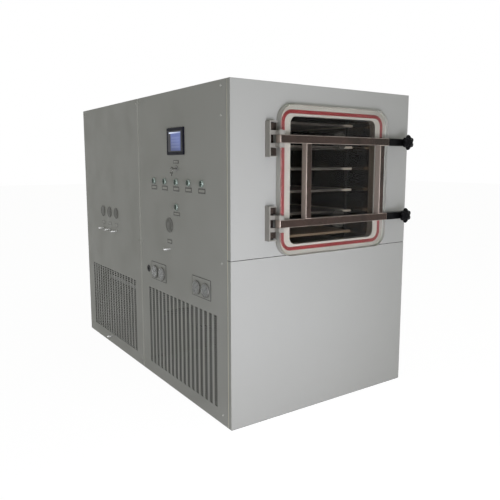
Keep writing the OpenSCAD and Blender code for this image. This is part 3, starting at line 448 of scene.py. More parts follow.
def blank_material(name):
    """A material kept in finishes under its name, with its Principled shader and an object-coordinate
    socket."""
    material = bpy.data.materials.new(name)
    material.use_nodes = True
    finishes[name] = material
    tree = material.node_tree
    shader = next(node for node in tree.nodes if node.type == "BSDF_PRINCIPLED")
    where = tree.nodes.new("ShaderNodeTexCoord").outputs["Object"]
    return tree, shader, where


def inside_of(name):
    """Tree, Principled shader and object-coordinate socket of a finish made before."""
    tree = finishes[name].node_tree
    shader = next(node for node in tree.nodes if node.type == "BSDF_PRINCIPLED")
    where = next(node for node in tree.nodes if node.type == "TEX_COORD").outputs["Object"]
    return tree, shader, where


def scaled(color, factor):
    """A colour made brighter or darker by a factor, up to 1."""
    return tuple(min(1.0, part * factor) for part in color)


def shade_between(tree, factor, first, second, target):
    """Mixes two colours by a factor socket into a target socket."""
    mix = tree.nodes.new("ShaderNodeMix")
    mix.data_type = "RGBA"
    tree.links.new(factor, mix.inputs["Factor"])
    mix.inputs["A"].default_value = (*first, 1.0)
    mix.inputs["B"].default_value = (*second, 1.0)
    tree.links.new(mix.outputs["Result"], target)
    return mix


def uneven(tree, value, color, spread, target):
    """Feeds target with a colour that a 0 to 1 socket makes darker or paler by up to spread."""
    shade_between(tree, value, scaled(color, 1 - spread), scaled(color, 1 + spread), target)


def lay_over(tree, shader, mask, color):
    """Lays a colour over what feeds the base colour so far, as much as the mask says."""
    base = shader.inputs["Base Color"]
    under = base.links[0].from_socket
    over = shade_between(tree, mask, color, color, base)
    tree.links.new(under, over.inputs["A"])


def bump_from(tree, height, shader, distance):
    """A Bump node between a height socket and the shader's normal."""
    bump = tree.nodes.new("ShaderNodeBump")
    bump.inputs["Distance"].default_value = distance
    bump.inputs["Strength"].default_value = 0.6
    tree.links.new(height, bump.inputs["Height"])
    tree.links.new(bump.outputs["Normal"], shader.inputs["Normal"])


def roughen(tree, value, rough, shader):
    """Roughness from the first to the second of a pair, as a 0 to 1 socket says."""
    tree.links.new(map_range(tree, value, to_range=rough), shader.inputs["Roughness"])


def follow_stops(tree, value, low, high, stops):
    """A height that follows stops of (share of the way, height) as a socket runs from low to high."""
    ramp = tree.nodes.new("ShaderNodeValToRGB")
    elements = ramp.color_ramp.elements
    while len(elements) < len(stops):
        elements.new(0.5)
    for element, (share, height) in zip(elements, stops):
        element.position = share
        element.color = (height, height, height, 1.0)
    tree.links.new(map_range(tree, value, from_range=(low, high)), ramp.inputs["Fac"])
    return ramp.outputs["Color"]


def both(tree, first, second):
    """1 where two masks are both 1, else 0."""
    return math_node(tree, "MULTIPLY", first, second)


def between(tree, value, low, high):
    """1 where a socket lies between low and high, else 0."""
    above = math_node(tree, "GREATER_THAN", value, low)
    return both(tree, above, math_node(tree, "LESS_THAN", value, high))


def in_box(tree, place, low, high, axes=(0, 1), inset=0.0):
    """1 where a point lies at least inset inside a box along two of its axes, else 0. place is the
    point's X, Y and Z sockets."""
    return both(tree, *[between(tree, place[axis], low[axis] + inset, high[axis] - inset) for axis in axes])


def return_edge_highlight(tree, where):
    """1 along the last millimetres of the front panels' side returns, where the sheet's cut edge rolls
    over;
    a paler colour is painted there as its highlight, fading out towards the top of the cabinet."""
    across, deep, up = split_vector(tree, where)
    side = math_node(tree, "GREATER_THAN", math_node(tree, "ABSOLUTE", across), -SIDE_X - 0.0005)
    strip = between(tree, deep, RETURN_BACK_Y - EDGE_WIDTH, RETURN_BACK_Y + 0.001)
    return both(tree, both(tree, side, strip), map_range(tree, up, from_range=EDGE_FADE))


def seam_edge_highlight(tree, where):
    """1 on the narrow strips of the side panels along the gap between the modules, where a paler colour is
    painted as the highlight of the bent edges."""
    return between(tree, split_vector(tree, where)[1], SEAM_Y - SEAM_STRIP, SEAM_Y + SEAM_STRIP)


def seam_painted_light(tree, where):
    """1 on the frames where they show from outside in the gap between the two modules, where a pale colour
    is painted as the light line that the gap shows.
    """
    across, deep, _ = split_vector(tree, where)
    outer = math_node(tree, "LESS_THAN", across, SIDE_X + SEAM_DEPTH)
    return both(tree, outer, between(tree, deep, SEAM_Y - SEAM_SHOWS, SEAM_Y + SEAM_SHOWS))


def gauge_plate_gap_shade(tree, where):
    """1 on a thin line round each gauge plate, where a dark colour is painted as the shade of the gap
    between plate and panel.
    """
    place = split_vector(tree, where)
    inside = [in_box(tree, place, low, high, (1, 2), GAP_SHADE_WIDTH) for low, high in solids("gauge_plates")]
    return math_node(tree, "SUBTRACT", 1.0, math_node(tree, "MAXIMUM", *inside))


def bolt_cell_shade(tree, where):
    """1 at the heights of the hinge brackets' two bolt cells, from inside the bracket's left wall to the
    door plate's edge. The dark colour laid there is painted shade that reaches from the cells to the
    plate's edge."""
    across, _, up = split_vector(tree, where)
    cells = []
    for low, high in solids("hinge_brackets"):
        offset = math_node(tree, "ABSOLUTE", math_node(tree, "SUBTRACT", up, (low[2] + high[2]) / 2))
        cells.append(between(tree, offset, *BOLT_CELL))
    left = corners("hinge_brackets")[0][0] + 0.005
    right = corners("door_plate")[0][0] + 0.003
    return both(tree, math_node(tree, "MAXIMUM", *cells), between(tree, across, left, right))


def painted(name, color, rough=(0.38, 0.5), dusty=0.0, masks=()):
    """Powder coat: cloudy tone, orange-peel height, smeared gloss and dust near the floor. Each pair of
    masks is a mask function and the colour it puts where it gives 1."""
    tree, shader, where = blank_material(name)
    shader.inputs["Specular IOR Level"].default_value = 0.2
    grain = group_in(tree, "grain", where, Cloud_Scale=2.2, Grain_Scale=420.0)
    marks = group_in(tree, "smear", where, Scale=5.0)
    uneven(tree, grain.outputs["Cloud"], color, 0.04, shader.inputs["Base Color"])
    if dusty:
        dust = group_in(tree, "dust", where, Fade_Height=0.4, Amount=dusty)
        lay_over(tree, shader, dust.outputs["Dust"], DUST_COLOR)
    for mask, mask_color in masks:
        lay_over(tree, shader, mask(tree, where), mask_color)
    roughen(tree, marks.outputs["Marks"], rough, shader)
    bump_from(tree, grain.outputs["Grain"], shader, 0.00006)


def brushed(name, color, stretch, rough, spread=0.12, bump=0.00003, metallic=1.0):
    """Brushed steel: fine lines along one axis in tone, gloss and height."""
    tree, shader, where = blank_material(name)
    shader.inputs["Metallic"].default_value = metallic
    brush = group_in(tree, "brush", where, Stretch=stretch)
    lines = brush.outputs["Lines"]
    marks = group_in(tree, "smear", where, Scale=9.0)
    uneven(tree, lines, color, spread, shader.inputs["Base Color"])
    roughen(tree, math_node(tree, "MULTIPLY", lines, marks.outputs["Marks"]), rough, shader)
    bump_from(tree, lines, shader, bump)


def tube_steel(name, color, warm):
    """Satin square tube: brushed along X, with slow changes between its own colour and a warmer one."""
    brushed(name, color, ALONG_X, rough=(0.25, 0.4))
    tree, shader, where = inside_of(name)
    cloud = group_in(tree, "smear", where, Scale=6.0)
    lay_over(tree, shader, cloud.outputs["Marks"], warm)


def highlit_shelf_steel(name, color, highlight_color, brown_tone, low, high, lowest_shelf):
    """A shelf's steel: dark as painted shade, with a paler colour painted near both ends as highlights
    between low and high. Below the height lowest_shelf it is browner."""
    brushed(name, color, ALONG_X, rough=(0.4, 0.55), metallic=0.1)
    tree, shader, where = inside_of(name)
    shader.inputs["Specular IOR Level"].default_value = 0.1
    across, _, up = split_vector(tree, where)
    lay_over(tree, shader, follow_stops(tree, across, low, high, SHELF_HIGHLIGHTS), highlight_color)
    lay_over(tree, shader, math_node(tree, "LESS_THAN", up, lowest_shelf), brown_tone)


def vessel_inside(name, color, shade_color, low, high):
    """Glossy rolled steel of the chamber's walls, darker than bare steel as painted shade, with the back
    wall and the outside near black, also as painted shade."""
    brushed(name, color, WALL_LINES, rough=(0.12, 0.2), spread=0.05, bump=0.00001)
    tree, shader, where = inside_of(name)
    place = split_vector(tree, where)
    before_back = math_node(tree, "LESS_THAN", place[1], high[1] - 0.012)
    bright = both(tree, before_back, in_box(tree, place, low, high, (0, 2), 0.002))
    lay_over(tree, shader, math_node(tree, "SUBTRACT", 1.0, bright), shade_color)


def flange_steel(name, color, bore_shade, front, seal):
    """The flange's satin face: paler inside the door's seal, which lies between two corners, and dark in
    its bore, behind its front, as painted shade like the chamber's walls."""
    brushed(name, color, WALL_LINES, rough=(0.35, 0.45), spread=0.03, bump=0.000003, metallic=0.25)
    tree, shader, where = inside_of(name)
    place = split_vector(tree, where)
    lay_over(tree, shader, in_box(tree, place, *seal, (0, 2), 0.01), scaled(color, 1.12))
    lay_over(tree, shader, math_node(tree, "GREATER_THAN", place[1], front + 0.003), bore_shade)


def hinge_steel(name, color, shade, front):
    """Cast hinge steel, with painted shade in its open cells, which lie behind its front."""
    brushed(name, color, ALONG_Z, rough=(0.35, 0.5), metallic=0.35)
    tree, shader, where = inside_of(name)
    across, deep, _ = split_vector(tree, where)
    right_of_wall = math_node(tree, "GREATER_THAN", across, corners("hinge_brackets")[0][0] + 0.003)
    behind_front = math_node(tree, "GREATER_THAN", deep, front + 0.003)
    lay_over(tree, shader, both(tree, right_of_wall, behind_front), shade)


def moulded(name, color, rough, spread=0.15, grain_scale=900.0, specular=0.5):
    """Moulded plastic, rubber or cast parts: a fine grain with slightly uneven gloss."""
    tree, shader, where = blank_material(name)
    shader.inputs["Specular IOR Level"].default_value = specular
    grain = group_in(tree, "grain", where, Cloud_Scale=14.0, Grain_Scale=grain_scale)
    marks = group_in(tree, "smear", where, Scale=30.0)
    uneven(tree, grain.outputs["Cloud"], color, spread, shader.inputs["Base Color"])
    roughen(tree, marks.outputs["Marks"], rough, shader)
    bump_from(tree, grain.outputs["Grain"], shader, 0.00005)


def clear(name, color, ior, gloss, density=0.0):
    """Clear acrylic or glass, with faint wiping marks and, when it is thick, a tint through its depth.
    Lamps shine through it onto what lies behind."""
    tree, shader, where = blank_material(name)
    shader.inputs["Transmission Weight"].default_value = 1.0
    shader.inputs["IOR"].default_value = ior
    shader.inputs["Specular Tint"].default_value = (gloss, gloss, gloss, 1.0)
    marks = group_in(tree, "smear", where, Scale=4.0)
    shade_between(tree, marks.outputs["Marks"], color, scaled(color, 0.985), shader.inputs["Base Color"])
    roughen(tree, marks.outputs["Marks"], (0.012, 0.03), shader)
    output = next(node for node in tree.nodes if node.type == "OUTPUT_MATERIAL")
    path = tree.nodes.new("ShaderNodeLightPath")
    through = tree.nodes.new("ShaderNodeBsdfTransparent")
    mix = tree.nodes.new("ShaderNodeMixShader")
    tree.links.new(path.outputs["Is Shadow Ray"], mix.inputs[0])
    tree.links.new(shader.outputs[0], mix.inputs[1])
    tree.links.new(through.outputs[0], mix.inputs[2])
    tree.links.new(mix.outputs[0], output.inputs["Surface"])
    if density:
        depth = tree.nodes.new("ShaderNodeVolumeAbsorption")
        depth.inputs["Color"].default_value = (0.86, 0.89, 0.82, 1.0)
        depth.inputs["Density"].default_value = density
        tree.links.new(depth.outputs[0], output.inputs["Volume"])


def own_place(tree):
    """Across and up sockets, 0 to 1 over the piece, from its own UV map."""
    uv = tree.nodes.new("ShaderNodeUVMap")
    uv.uv_map = "UVMap"
    return split_vector(tree, uv.outputs[0])


def framed_label(name, face, border, pale_border, pale_from_y):
    """A label plate: a brushed face with a dark border line, both from the piece's UV map. The border is
    paler on the labels behind the depth given."""
    tree, shader, where = blank_material(name)
    inner = in_box(tree, own_place(tree), *LABEL_FACE)
    behind = math_node(tree, "GREATER_THAN", split_vector(tree, where)[1], pale_from_y)
    brush = group_in(tree, "brush", where, Stretch=LABEL_LINES)
    mix = shade_between(tree, inner, border, face, shader.inputs["Base Color"])
    shade_between(tree, behind, border, pale_border, mix.inputs["A"])
    uneven(tree, brush.outputs["Lines"], face, 0.1, mix.inputs["B"])
    roughen(tree, brush.outputs["Lines"], (0.35, 0.5), shader)


def lit_screen(name, glow, dark, bar_color):
    """The touch screen: a dark glass field with a lit page, from its UV map. The page has a bright bar
    along its top, brightest on the left, over faint rows, and dims towards its lower left corner."""
    tree, shader, where = blank_material(name)
    place = own_place(tree)
    across, up = place[0], place[1]
    top_bar = in_box(tree, place, *SCREEN_TOP_BAR)
    page = math_node(tree, "MAXIMUM", in_box(tree, place, *SCREEN_PAGE), top_bar)
    header = math_node(tree, "MULTIPLY", top_bar, math_node(tree, "SUBTRACT", 1.15, across))
    row_share = math_node(tree, "FRACT", math_node(tree, "MULTIPLY", up, 7.0))
    rows = both(tree, math_node(tree, "GREATER_THAN", row_share, 0.28), in_box(tree, place, *SCREEN_ROWS))
    bright = math_node(tree, "MAXIMUM", header, math_node(tree, "MULTIPLY", rows, 0.06))
    cloud = group_in(tree, "grain", where, Cloud_Scale=16.0, Grain_Scale=500.0)
    tone = shade_between(tree, bright, glow, bar_color, shader.inputs["Emission Color"])
    corner = math_node(tree, "ADD", math_node(tree, "MULTIPLY", across, 0.6), up, clamp=True)
    fall = shade_between(tree, corner, scaled(glow, 0.35), scaled(glow, 1.1), tone.inputs["A"])
    shade_between(tree, cloud.outputs["Cloud"], scaled(glow, 0.95), scaled(glow, 1.25), fall.inputs["B"])
    shown = shade_between(tree, page, dark, glow, shader.inputs["Emission Color"])
    tree.links.new(tone.outputs["Result"], shown.inputs["B"])
    shader.inputs["Base Color"].default_value = (*dark, 1.0)
    shader.inputs["Emission Strength"].default_value = 1.0
    shader.inputs["Specular IOR Level"].default_value = 0.2
    shader.inputs["Roughness"].default_value = 0.12


def lamp_lens(name, color, glow):
    """A push button's coloured lens: a moulded dome that glows slightly from inside."""
    moulded(name, color, rough=(0.12, 0.22), spread=0.25, specular=0.3)
    shader = inside_of(name)[1]
    shader.inputs["Emission Color"].default_value = (*color, 1.0)
    shader.inputs["Emission Strength"].default_value = glow


def make_finishes(cabinet, door, controls):
    """Every finish of the machine, kept in finishes under its own name."""
    # The cabinet paint is paler beside the gap between the modules: a painted highlight.
    painted(
        "cabinet_paint", cabinet.paint, dusty=cabinet.dust,
        masks=[(seam_edge_highlight, scaled(cabinet.paint, 1.6))])
    # The front paint's pale edge on the returns is a painted highlight, and its dark colour at the hinge
    # brackets' bolt cells is painted shade.
    painted(
        "front_paint", cabinet.paint, dusty=cabinet.dust,
        masks=[(return_edge_highlight, (0.85, 0.83, 0.7)), (bolt_cell_shade, (0.045, 0.033, 0.027))])
    # The frame paint's pale colour in the gap between the modules is painted light.
    painted("frame_paint", cabinet.frame_paint, rough=(0.5, 0.65), masks=[(seam_painted_light, (0.85, 0.85, 0.82))])
    painted("machine_paint", (0.09, 0.14, 0.22), rough=(0.35, 0.5), dusty=0.3)
    painted("compressor_paint", (0.022, 0.023, 0.025), rough=(0.3, 0.5), dusty=0.25)
    # The gauge plates' dark line is painted shade of the gap round each plate.
    painted("gauge_plate_paint", cabinet.paint, masks=[(gauge_plate_gap_shade, (0.08, 0.08, 0.075))])
    painted("screw_paint", (0.62, 0.62, 0.58), rough=(0.3, 0.4))

    # The bar steel is far darker than steel as painted dark reflection; the tube edges' paler colour is
    # painted highlight and reflection.
    tube_steel("bar_steel", door.bar_steel, (0.075, 0.052, 0.045))
    brushed("tube_edge_highlight", door.bar_side_highlight, ALONG_Z, rough=(0.3, 0.4), metallic=0.25)
    # The shelves, posts and chamber walls are far darker than bare steel: painted shade of the chamber
    # behind the plate. The shelves' paler places are painted highlights.
    shelf_low, shelf_high = corners("shelves")
    highlit_shelf_steel(
        "shelf_steel", (0.045, 0.038, 0.033), (0.38, 0.33, 0.27), (0.24, 0.17, 0.11), shelf_low[0],
        shelf_high[0], shelf_low[2] + 0.05)
    brushed("post_steel", (0.006, 0.005, 0.0045), ALONG_Z, rough=(0.4, 0.55))
    vessel_inside("chamber_steel", (0.2, 0.155, 0.11), (0.012, 0.01, 0.008), *corners("chamber_shell"))
    brushed("vessel_steel", (0.4, 0.4, 0.39), ALONG_Y, rough=(0.3, 0.45))
    # The bracket steel's dark colour in its cells is painted shade.
    hinge_steel("bracket_steel", (0.34, 0.325, 0.295), (0.035, 0.025, 0.02), FRONT_Y - BRACKET_DEPTH)
    # The flange's dark bore is painted shade.
    flange_steel(
        "flange_steel", door.flange, (0.1, 0.08, 0.06), corners("chamber_flange")[0][1],
        corners("door_gasket"))
    brushed("stub_steel", (0.85, 0.85, 0.83), ALONG_X, rough=(0.25, 0.35), spread=0.05, metallic=0.35)
    # The clamp steel is far darker than steel as painted dark reflection.
    brushed("clamp_steel", (0.04, 0.036, 0.033), ALONG_Z, rough=(0.25, 0.4))
    brushed("key_steel", (0.3, 0.3, 0.28), ALONG_Z, rough=(0.2, 0.35))
    brushed("satin_collar", (0.33, 0.4, 0.36), ALONG_Z, rough=(0.3, 0.4), spread=0.06, metallic=0.3)
    brushed("gauge_ring", (0.2, 0.2, 0.185), ALONG_Z, rough=(0.35, 0.45), spread=0.08, metallic=0.3)
    brushed("lock_steel", (0.2, 0.2, 0.19), ALONG_Z, rough=(0.3, 0.4), metallic=0.5)
    brushed("fin_aluminium", (0.4, 0.4, 0.4), ALONG_Z, rough=(0.35, 0.5))

    moulded("red_silicone", door.gasket, rough=(0.42, 0.55), grain_scale=600.0)
    moulded("milled_acrylic", (0.5, 0.49, 0.45), rough=(0.4, 0.55), spread=0.05)
    moulded("black_resin", (0.005, 0.005, 0.0055), rough=(0.25, 0.4), specular=0.05)
    moulded("black_rubber", (0.012, 0.012, 0.013), rough=(0.6, 0.75))
    moulded("bezel_plastic", (0.01, 0.011, 0.021), rough=(0.35, 0.5), specular=0.06)
    moulded("cap_plastic", controls.port_cap, rough=(0.45, 0.6))
    moulded("dial_face", (0.3, 0.3, 0.285), rough=(0.5, 0.6), spread=0.03, specular=0.1)
    moulded("ink", (0.06, 0.06, 0.058), rough=(0.5, 0.6))
    lamp_lens("green_lens", controls.lamp, 0.15)

    clear("clear_plate", (0.95, 0.96, 0.94), ior=1.35, gloss=0.0, density=3.0)
    clear("gauge_glass", (0.96, 0.98, 0.98), ior=1.4, gloss=0.1)
    framed_label("label_plate", controls.label, (0.08, 0.08, 0.07), (0.3, 0.3, 0.28), SEAM_Y)
    lit_screen("screen_page", controls.screen_glow, (0.006, 0.007, 0.012), (0.75, 0.82, 1.0))


# ---------- sizes and colours a user would change ----------

def color_property(name, description, default):
    """A colour setting with a name, a description and a default."""
    return FloatVectorProperty(
        name=name, description=description, default=default, size=3, min=0.0, max=1.0, subtype="COLOR")


def length_property(name, description, default):
    """A length setting in metres with a name, a description and a default."""
    return FloatProperty(
        name=name, description=description, default=default, min=0.0, soft_max=0.1, subtype="DISTANCE",
        unit="LENGTH", precision=4)


class FreezeDryerCabinet(bpy.types.PropertyGroup):
    paint: color_property("Cabinet paint", "Powder coat of the cabinet sheets", (0.5, 0.502, 0.475))
    frame_paint: color_property("Frame paint", "Paint of the inner frames", (0.035, 0.036, 0.036))
    dust: FloatProperty(
        name="Dust", description="Dust settled near the floor", default=0.12, min=0.0, max=1.0)
    screw_recess: length_property("Screw recess", "Depth of the recess in a panel screw's head", 0.0018)


class FreezeDryerDoor(bpy.types.PropertyGroup):
    # The bar steel's dark colour is painted dark reflection; the tube edges' paler colour is painted
    # highlight and reflection.
    bar_steel: color_property("Bar steel", "Steel of the door's bars and stiles", (0.044, 0.036, 0.031))
    bar_side_highlight: color_property("Tube edges", "Polished sides and corners of the bars", (0.52, 0.43, 0.37))
    flange: color_property("Flange", "Finish of the chamber flange", (0.38, 0.352, 0.315))
    gasket: color_property("Gasket", "Colour of the silicone door gasket", (0.2, 0.016, 0.017))
    bar_rounding: length_property("Bar edge radius", "Radius of the square bars' long edges", 0.003)
    plate_rounding: length_property("Plate edge radius", "Radius of the clear plate's edges", 0.0025)
    knob_lobes: IntProperty(
        name="Knob lobes", description="Lobes round a clamp knob", default=6, min=3, max=9)


class FreezeDryerControls(bpy.types.PropertyGroup):
    lamp: color_property("Button lens", "Colour of the push buttons' lenses", (0.008, 0.03, 0.016))
    screen_glow: color_property("Screen glow", "Main colour of the lit screen page", (0.085, 0.117, 0.3))
    port_cap: color_property("Port cap", "Colour of the round port caps", (0.155, 0.157, 0.14))
    label: color_property("Label", "Face of the label plates", (0.42, 0.42, 0.38))


class FreezeDryerStage(bpy.types.PropertyGroup):
    floor_size: FloatProperty(
        name="Floor size", description="Side of the square floor", default=60.0, min=5.0,
        subtype="DISTANCE", unit="LENGTH")
    key_power: FloatProperty(
        name="Key light", description="Power of the soft light before the front's lower left", default=33.0,
        min=0.0, unit="POWER")
    top_power: FloatProperty(
        name="Top light", description="Power of the large light above", default=40.0, min=0.0, unit="POWER")
    ambient: FloatProperty(
        name="Ambient", description="Strength of the studio's plain surrounding light", default=0.228,
        min=0.0)
    view_height: FloatProperty(
        name="View height", description="Height of the camera", default=1.2776, min=0.1, subtype="DISTANCE",
        unit="LENGTH")


# ---------- pieces ----------

CARRIED_OVER = {
    "cabinet_paint": (
        "left_front_panel", "left_rear_panel", "right_front_panel", "right_rear_panel", "front_top_panel",
        "rear_top_panel", "back_panel"),
    "gauge_plate_paint": ("gauge_plates",),
    "front_paint": ("front_upper_panel", "front_lower_panel"),
    "frame_paint": ("front_frame", "rear_frame", "electrical_box"),
    "machine_paint": ("fan_motor", "vacuum_pump"),
    "compressor_paint": ("compressors", "fan"),
    "shelf_steel": ("shelves",),
    "post_steel": ("shelf_posts", "oil_headers"),
    "chamber_steel": ("chamber_shell",),
    "flange_steel": ("chamber_flange",),
    "vessel_steel": ("vapour_duct", "cold_trap_shell", "trap_coil", "oil_unit"),
    "fin_aluminium": ("condenser",),
    "bracket_steel": ("hinge_brackets", "hinge_pins"),
    "bar_steel": ("bracket_bolts",),
    "key_steel": ("key", "key_ring"),
    "ink": ("needle_1", "needle_2", "needle_3", "needle_4"),
}


class FREEZEDRYER_OT_finishes(bpy.types.Operator):
    """Makes the finishes and gives the plain carried-over nodes theirs"""
    bl_idname = "freeze_dryer.finishes"
    bl_label = "Finishes"

    def execute(self, context):
        scene = context.scene
        make_finishes(scene.freeze_dryer_cabinet, scene.freeze_dryer_door, scene.freeze_dryer_controls)
        for finish, nodes in CARRIED_OVER.items():
            for node in nodes:
                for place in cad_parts[node].material_slots:
                    place.material = finishes[finish]
        return {"FINISHED"}


def screw_surface(low, high, recess):
    """A low domed screw head with a round recess, and the start of its shank behind it. A screw whose
    box is narrow in depth and in height faces sideways, and any other one faces backward."""
    middle = (low + high) / 2
    if (high - low)[1:].max() < 0.02:
        out = "left" if low[0] < 0 else "right"
        middle[0] = low[0] if out == "left" else high[0]
    else:
        out = "back"
        middle[1] = high[1]
    radius = (high[2] - low[2]) / 2
    head = 0.0034
    profile = [
        (0.0028, -head - 0.004), (0.003, -head), (radius, -head), (radius, -head * 0.55),
        (radius * 0.88, -head * 0.2), (radius * 0.62, 0.0), (radius * 0.5, 0.0), (radius * 0.46, -recess)]
    points, faces = turned(profile, segments=24)
    return placed(points, middle, out), faces


class FREEZEDRYER_OT_screws(bpy.types.Operator):
    """Builds the panel screws with domed, recessed heads"""
    bl_idname = "freeze_dryer.screws"
    bl_label = "Panel screws"

    def execute(self, context):
        recess = context.scene.freeze_dryer_cabinet.screw_recess
        surface = joined([screw_surface(low, high, recess) for low, high in solids("panel_screws")])
        build("panel_screw_heads", surface, "cabinet", finishes["screw_paint"],
              ["panel_screws"])
        return {"FINISHED"}


def looks_sideways(normals):
    """Faces of the plate's rim, which look neither forward nor backward."""
    return np.abs(normals[:, 1]) < 0.5


def side_or_corner(normals):
    """Faces of a tube that look left or right, and those of its rounded corners, which take a paler colour
    as painted highlight and reflection.
    """
    reach = np.abs(normals)
    return (reach[:, 0] > 0.7) | (reach.max(axis=1) < 0.97)


def plate_surface(low, high, rounding):
    """The clear plate: a square slab with round corners and rounded edges."""
    size, half = high[0] - low[0], (high[1] - low[1]) / 2
    points, faces = rounded_slab(
        size, size, PLATE_CORNER, edge_profile(-half, half, rounding), corner_steps=24)
    return placed(points, (low + high) / 2, "front"), faces


def gasket_surface(low, high):
    """The gasket: a bead carried round a rounded square, with two lips and a groove between them."""
    size, half = high[0] - low[0], (high[1] - low[1]) / 2
    width, lip = GASKET_WIDTH, GASKET_LIP
    bead = [
        (0.0, -half), (0.0, half - lip), (lip * 0.35, half - lip * 0.35), (lip, half),
        (width * 0.42, half - 0.0006), (width * 0.5, half - 0.0016), (width * 0.58, half - 0.0006),
        (width - lip, half), (width - lip * 0.35, half - lip * 0.35), (width, half - lip), (width, -half)]
    points, faces = rounded_slab(size, size, GASKET_CORNER, bead, closed_profile=True, corner_steps=20)
    return placed(points, (low + high) / 2, "front"), faces


def frame_surface(low, high, rounding):
    """The door's two bars, as high as they are deep, and the two stiles between them."""
    bar = high[1] - low[1]
    parts = []
    for z in (low[2], high[2] - bar):
        parts.append(box_bar((low[0], low[1], z), (high[0], high[1], z + bar), rounding, 0))
    pins_x, knob_x = corners("hinge_pins").mean(axis=0)[0], corners("upper_knob").mean(axis=0)[0]
    middle_x = (pins_x + knob_x) / 2 - STILES_LEFT
    for side in (-1, 1):
        left = middle_x + side * STILE_OFFSET - STILE_WIDTH / 2
        parts.append(box_bar(
            (left, low[1], low[2] + bar - STILE_SUNK),
            (left + STILE_WIDTH, high[1], high[2] - bar + STILE_SUNK), rounding, 2))
    return joined(parts)


def clamp_surface(low, high):
    """A clamp: a bolt that goes from inside the bar back through the plate, a disc with rounded edges
    behind the plate, and the bolt's head on the disc's back."""
    radius, back = (high[0] - low[0]) / 2, high[1] - low[1]
    profile = [
        (0.004, 0.0), (0.006, -0.0005), (0.006, -back + 0.015), (radius - 0.002, -back + 0.015),
        (radius, -back + 0.013), (radius, -back + 0.009), (radius - 0.002, -back + 0.007),
        (0.012, -back + 0.007), (0.012, -back + 0.002), (0.010, -back), (0.004, -back)]
    points, faces = turned(profile)
    return placed(points, ((low[0] + high[0]) / 2, low[1], (low[2] + high[2]) / 2), "front"), faces


class FREEZEDRYER_OT_door(bpy.types.Operator):
    """Builds the clear plate, its gasket, the bars, their ends and the plate clamps"""
    bl_idname = "freeze_dryer.door"
    bl_label = "Door"

    def execute(self, context):
        look = context.scene.freeze_dryer_door
        build("clear_door_plate", plate_surface(*corners("door_plate"), look.plate_rounding), "door",
              finishes["clear_plate"], ["door_plate"],
              other=(finishes["milled_acrylic"], looks_sideways))
        build("gasket_bead", gasket_surface(*corners("door_gasket")), "cabinet",
              finishes["red_silicone"], ["door_gasket"])
        low, high = corners("door_frame")
        build("door_bars", frame_surface(low, high, look.bar_rounding), "door",
              finishes["bar_steel"], ["door_frame"], other=(finishes["tube_edge_highlight"], side_or_corner))
        ends = [box_bar((high[0] + 0.0003, *end[0][1:]), end[1], 0.004, 0) for end in solids("bar_ends")]
        build("bar_end_blocks", joined(ends), "door", finishes["black_resin"],
              ["bar_ends"])
        clamps = [clamp_surface(*clamp) for clamp in solids("plate_clamps")]
        build("clamp_discs", joined(clamps), "door", finishes["clamp_steel"], ["plate_clamps"])
        return {"FINISHED"}


def star_knob(low, high, lobes):
    """A moulded star knob with its stud. Its outline at an angle a is the tip radius times
    0.76 + 0.24 * (0.5 + 0.5 cos(lobes a)) ** 0.8. Going forward the outline first swells by a quarter
    sine and then closes in by a quarter of an ellipse, over a turned hub, crown and stud."""
    tip = (high[2] - low[2]) / 2
    hub_r, stud_r = 0.018, 0.006
    front = high[1] - low[1]
    star_from, star_to = front - 0.034, front - 0.006
    hub_from = star_from - 0.0097
    angle = np.linspace(0, 2 * math.pi, 144, endpoint=False)
    wave = 0.5 + 0.5 * np.cos(lobes * (angle - math.pi / 2))
    outline = tip * (0.76 + 0.24 * wave ** 0.8)
    rise = np.linspace(0, 1, 17)
    swell = 0.76 + 0.24 * np.sin(np.minimum(rise / 0.35, 1) * math.pi / 2)
    close = np.sqrt(1 - 0.72 * np.maximum((rise - 0.4) / 0.6, 0) ** 2)
    shrink = (swell * close)[:, None]
    level = (star_from + (star_to - star_from) * rise)[:, None]
    star = skin(np.stack(np.broadcast_arrays(
        outline * shrink * np.cos(angle), outline * shrink * np.sin(angle), level), axis=-1))
    shaft = turned([
        (0.004, 0.0), (stud_r, 0.002), (stud_r, hub_from), (hub_r - 0.001, hub_from),
        (hub_r, hub_from + 0.001), (hub_r, star_from + 0.002)])
    crown = turned([
        (hub_r, star_to - 0.002), (hub_r - 0.001, star_to + 0.001), (hub_r - 0.004, front - 0.0015),
        (hub_r - 0.008, front), (0.007, front), (0.0055, front - 0.0012)])
    points, faces = joined([star, shaft, crown])
    return placed(points, ((low[0] + high[0]) / 2, high[1], (low[2] + high[2]) / 2), "front"), faces


class FREEZEDRYER_OT_knobs(bpy.types.Operator):
    """Builds the two star knobs that clamp the door"""
    bl_idname = "freeze_dryer.knobs"
    bl_label = "Clamp knobs"

    def execute(self, context):
        lobes = context.scene.freeze_dryer_door.knob_lobes
        for node in ("upper_knob", "lower_knob"):
            build(f"{node}_star", star_knob(*corners(node), lobes), node,
                  finishes["black_resin"], [node])
        return {"FINISHED"}


def side_middle(low, high):
    """The point of the left side panels' face in the middle of a box on it."""
    return np.array([SIDE_X, (low[1] + high[1]) / 2, (low[2] + high[2]) / 2])


def side_sizes(low, high):
    """Of a round piece on the left side: its radius, how far it stands out of the side panels' face and
    how deep it reaches in behind it."""
    return (high[2] - low[2]) / 2, SIDE_X - low[0], high[0] - SIDE_X


def turned_on_side(profile, low, high, closed_profile=False, segments=SEGMENTS):
    """A profile of (radius, height) pairs turned about the middle of a box on the left side, with its
    heights counted outwards from the side panels' face."""
    points, faces = turned(profile, closed_profile, segments)
    return placed(points, side_middle(low, high), "left"), faces


def side_uv(points):
    """UV of the points of a flat piece on the left side: 0 to 1 across, as it is seen from outside, and
    0 to 1 upwards."""
    low, high = points.min(axis=0), points.max(axis=0)
    u = (high[1] - points[:, 1]) / (high[1] - low[1])
    v = (points[:, 2] - low[2]) / (high[2] - low[2])
    return np.column_stack([u, v])


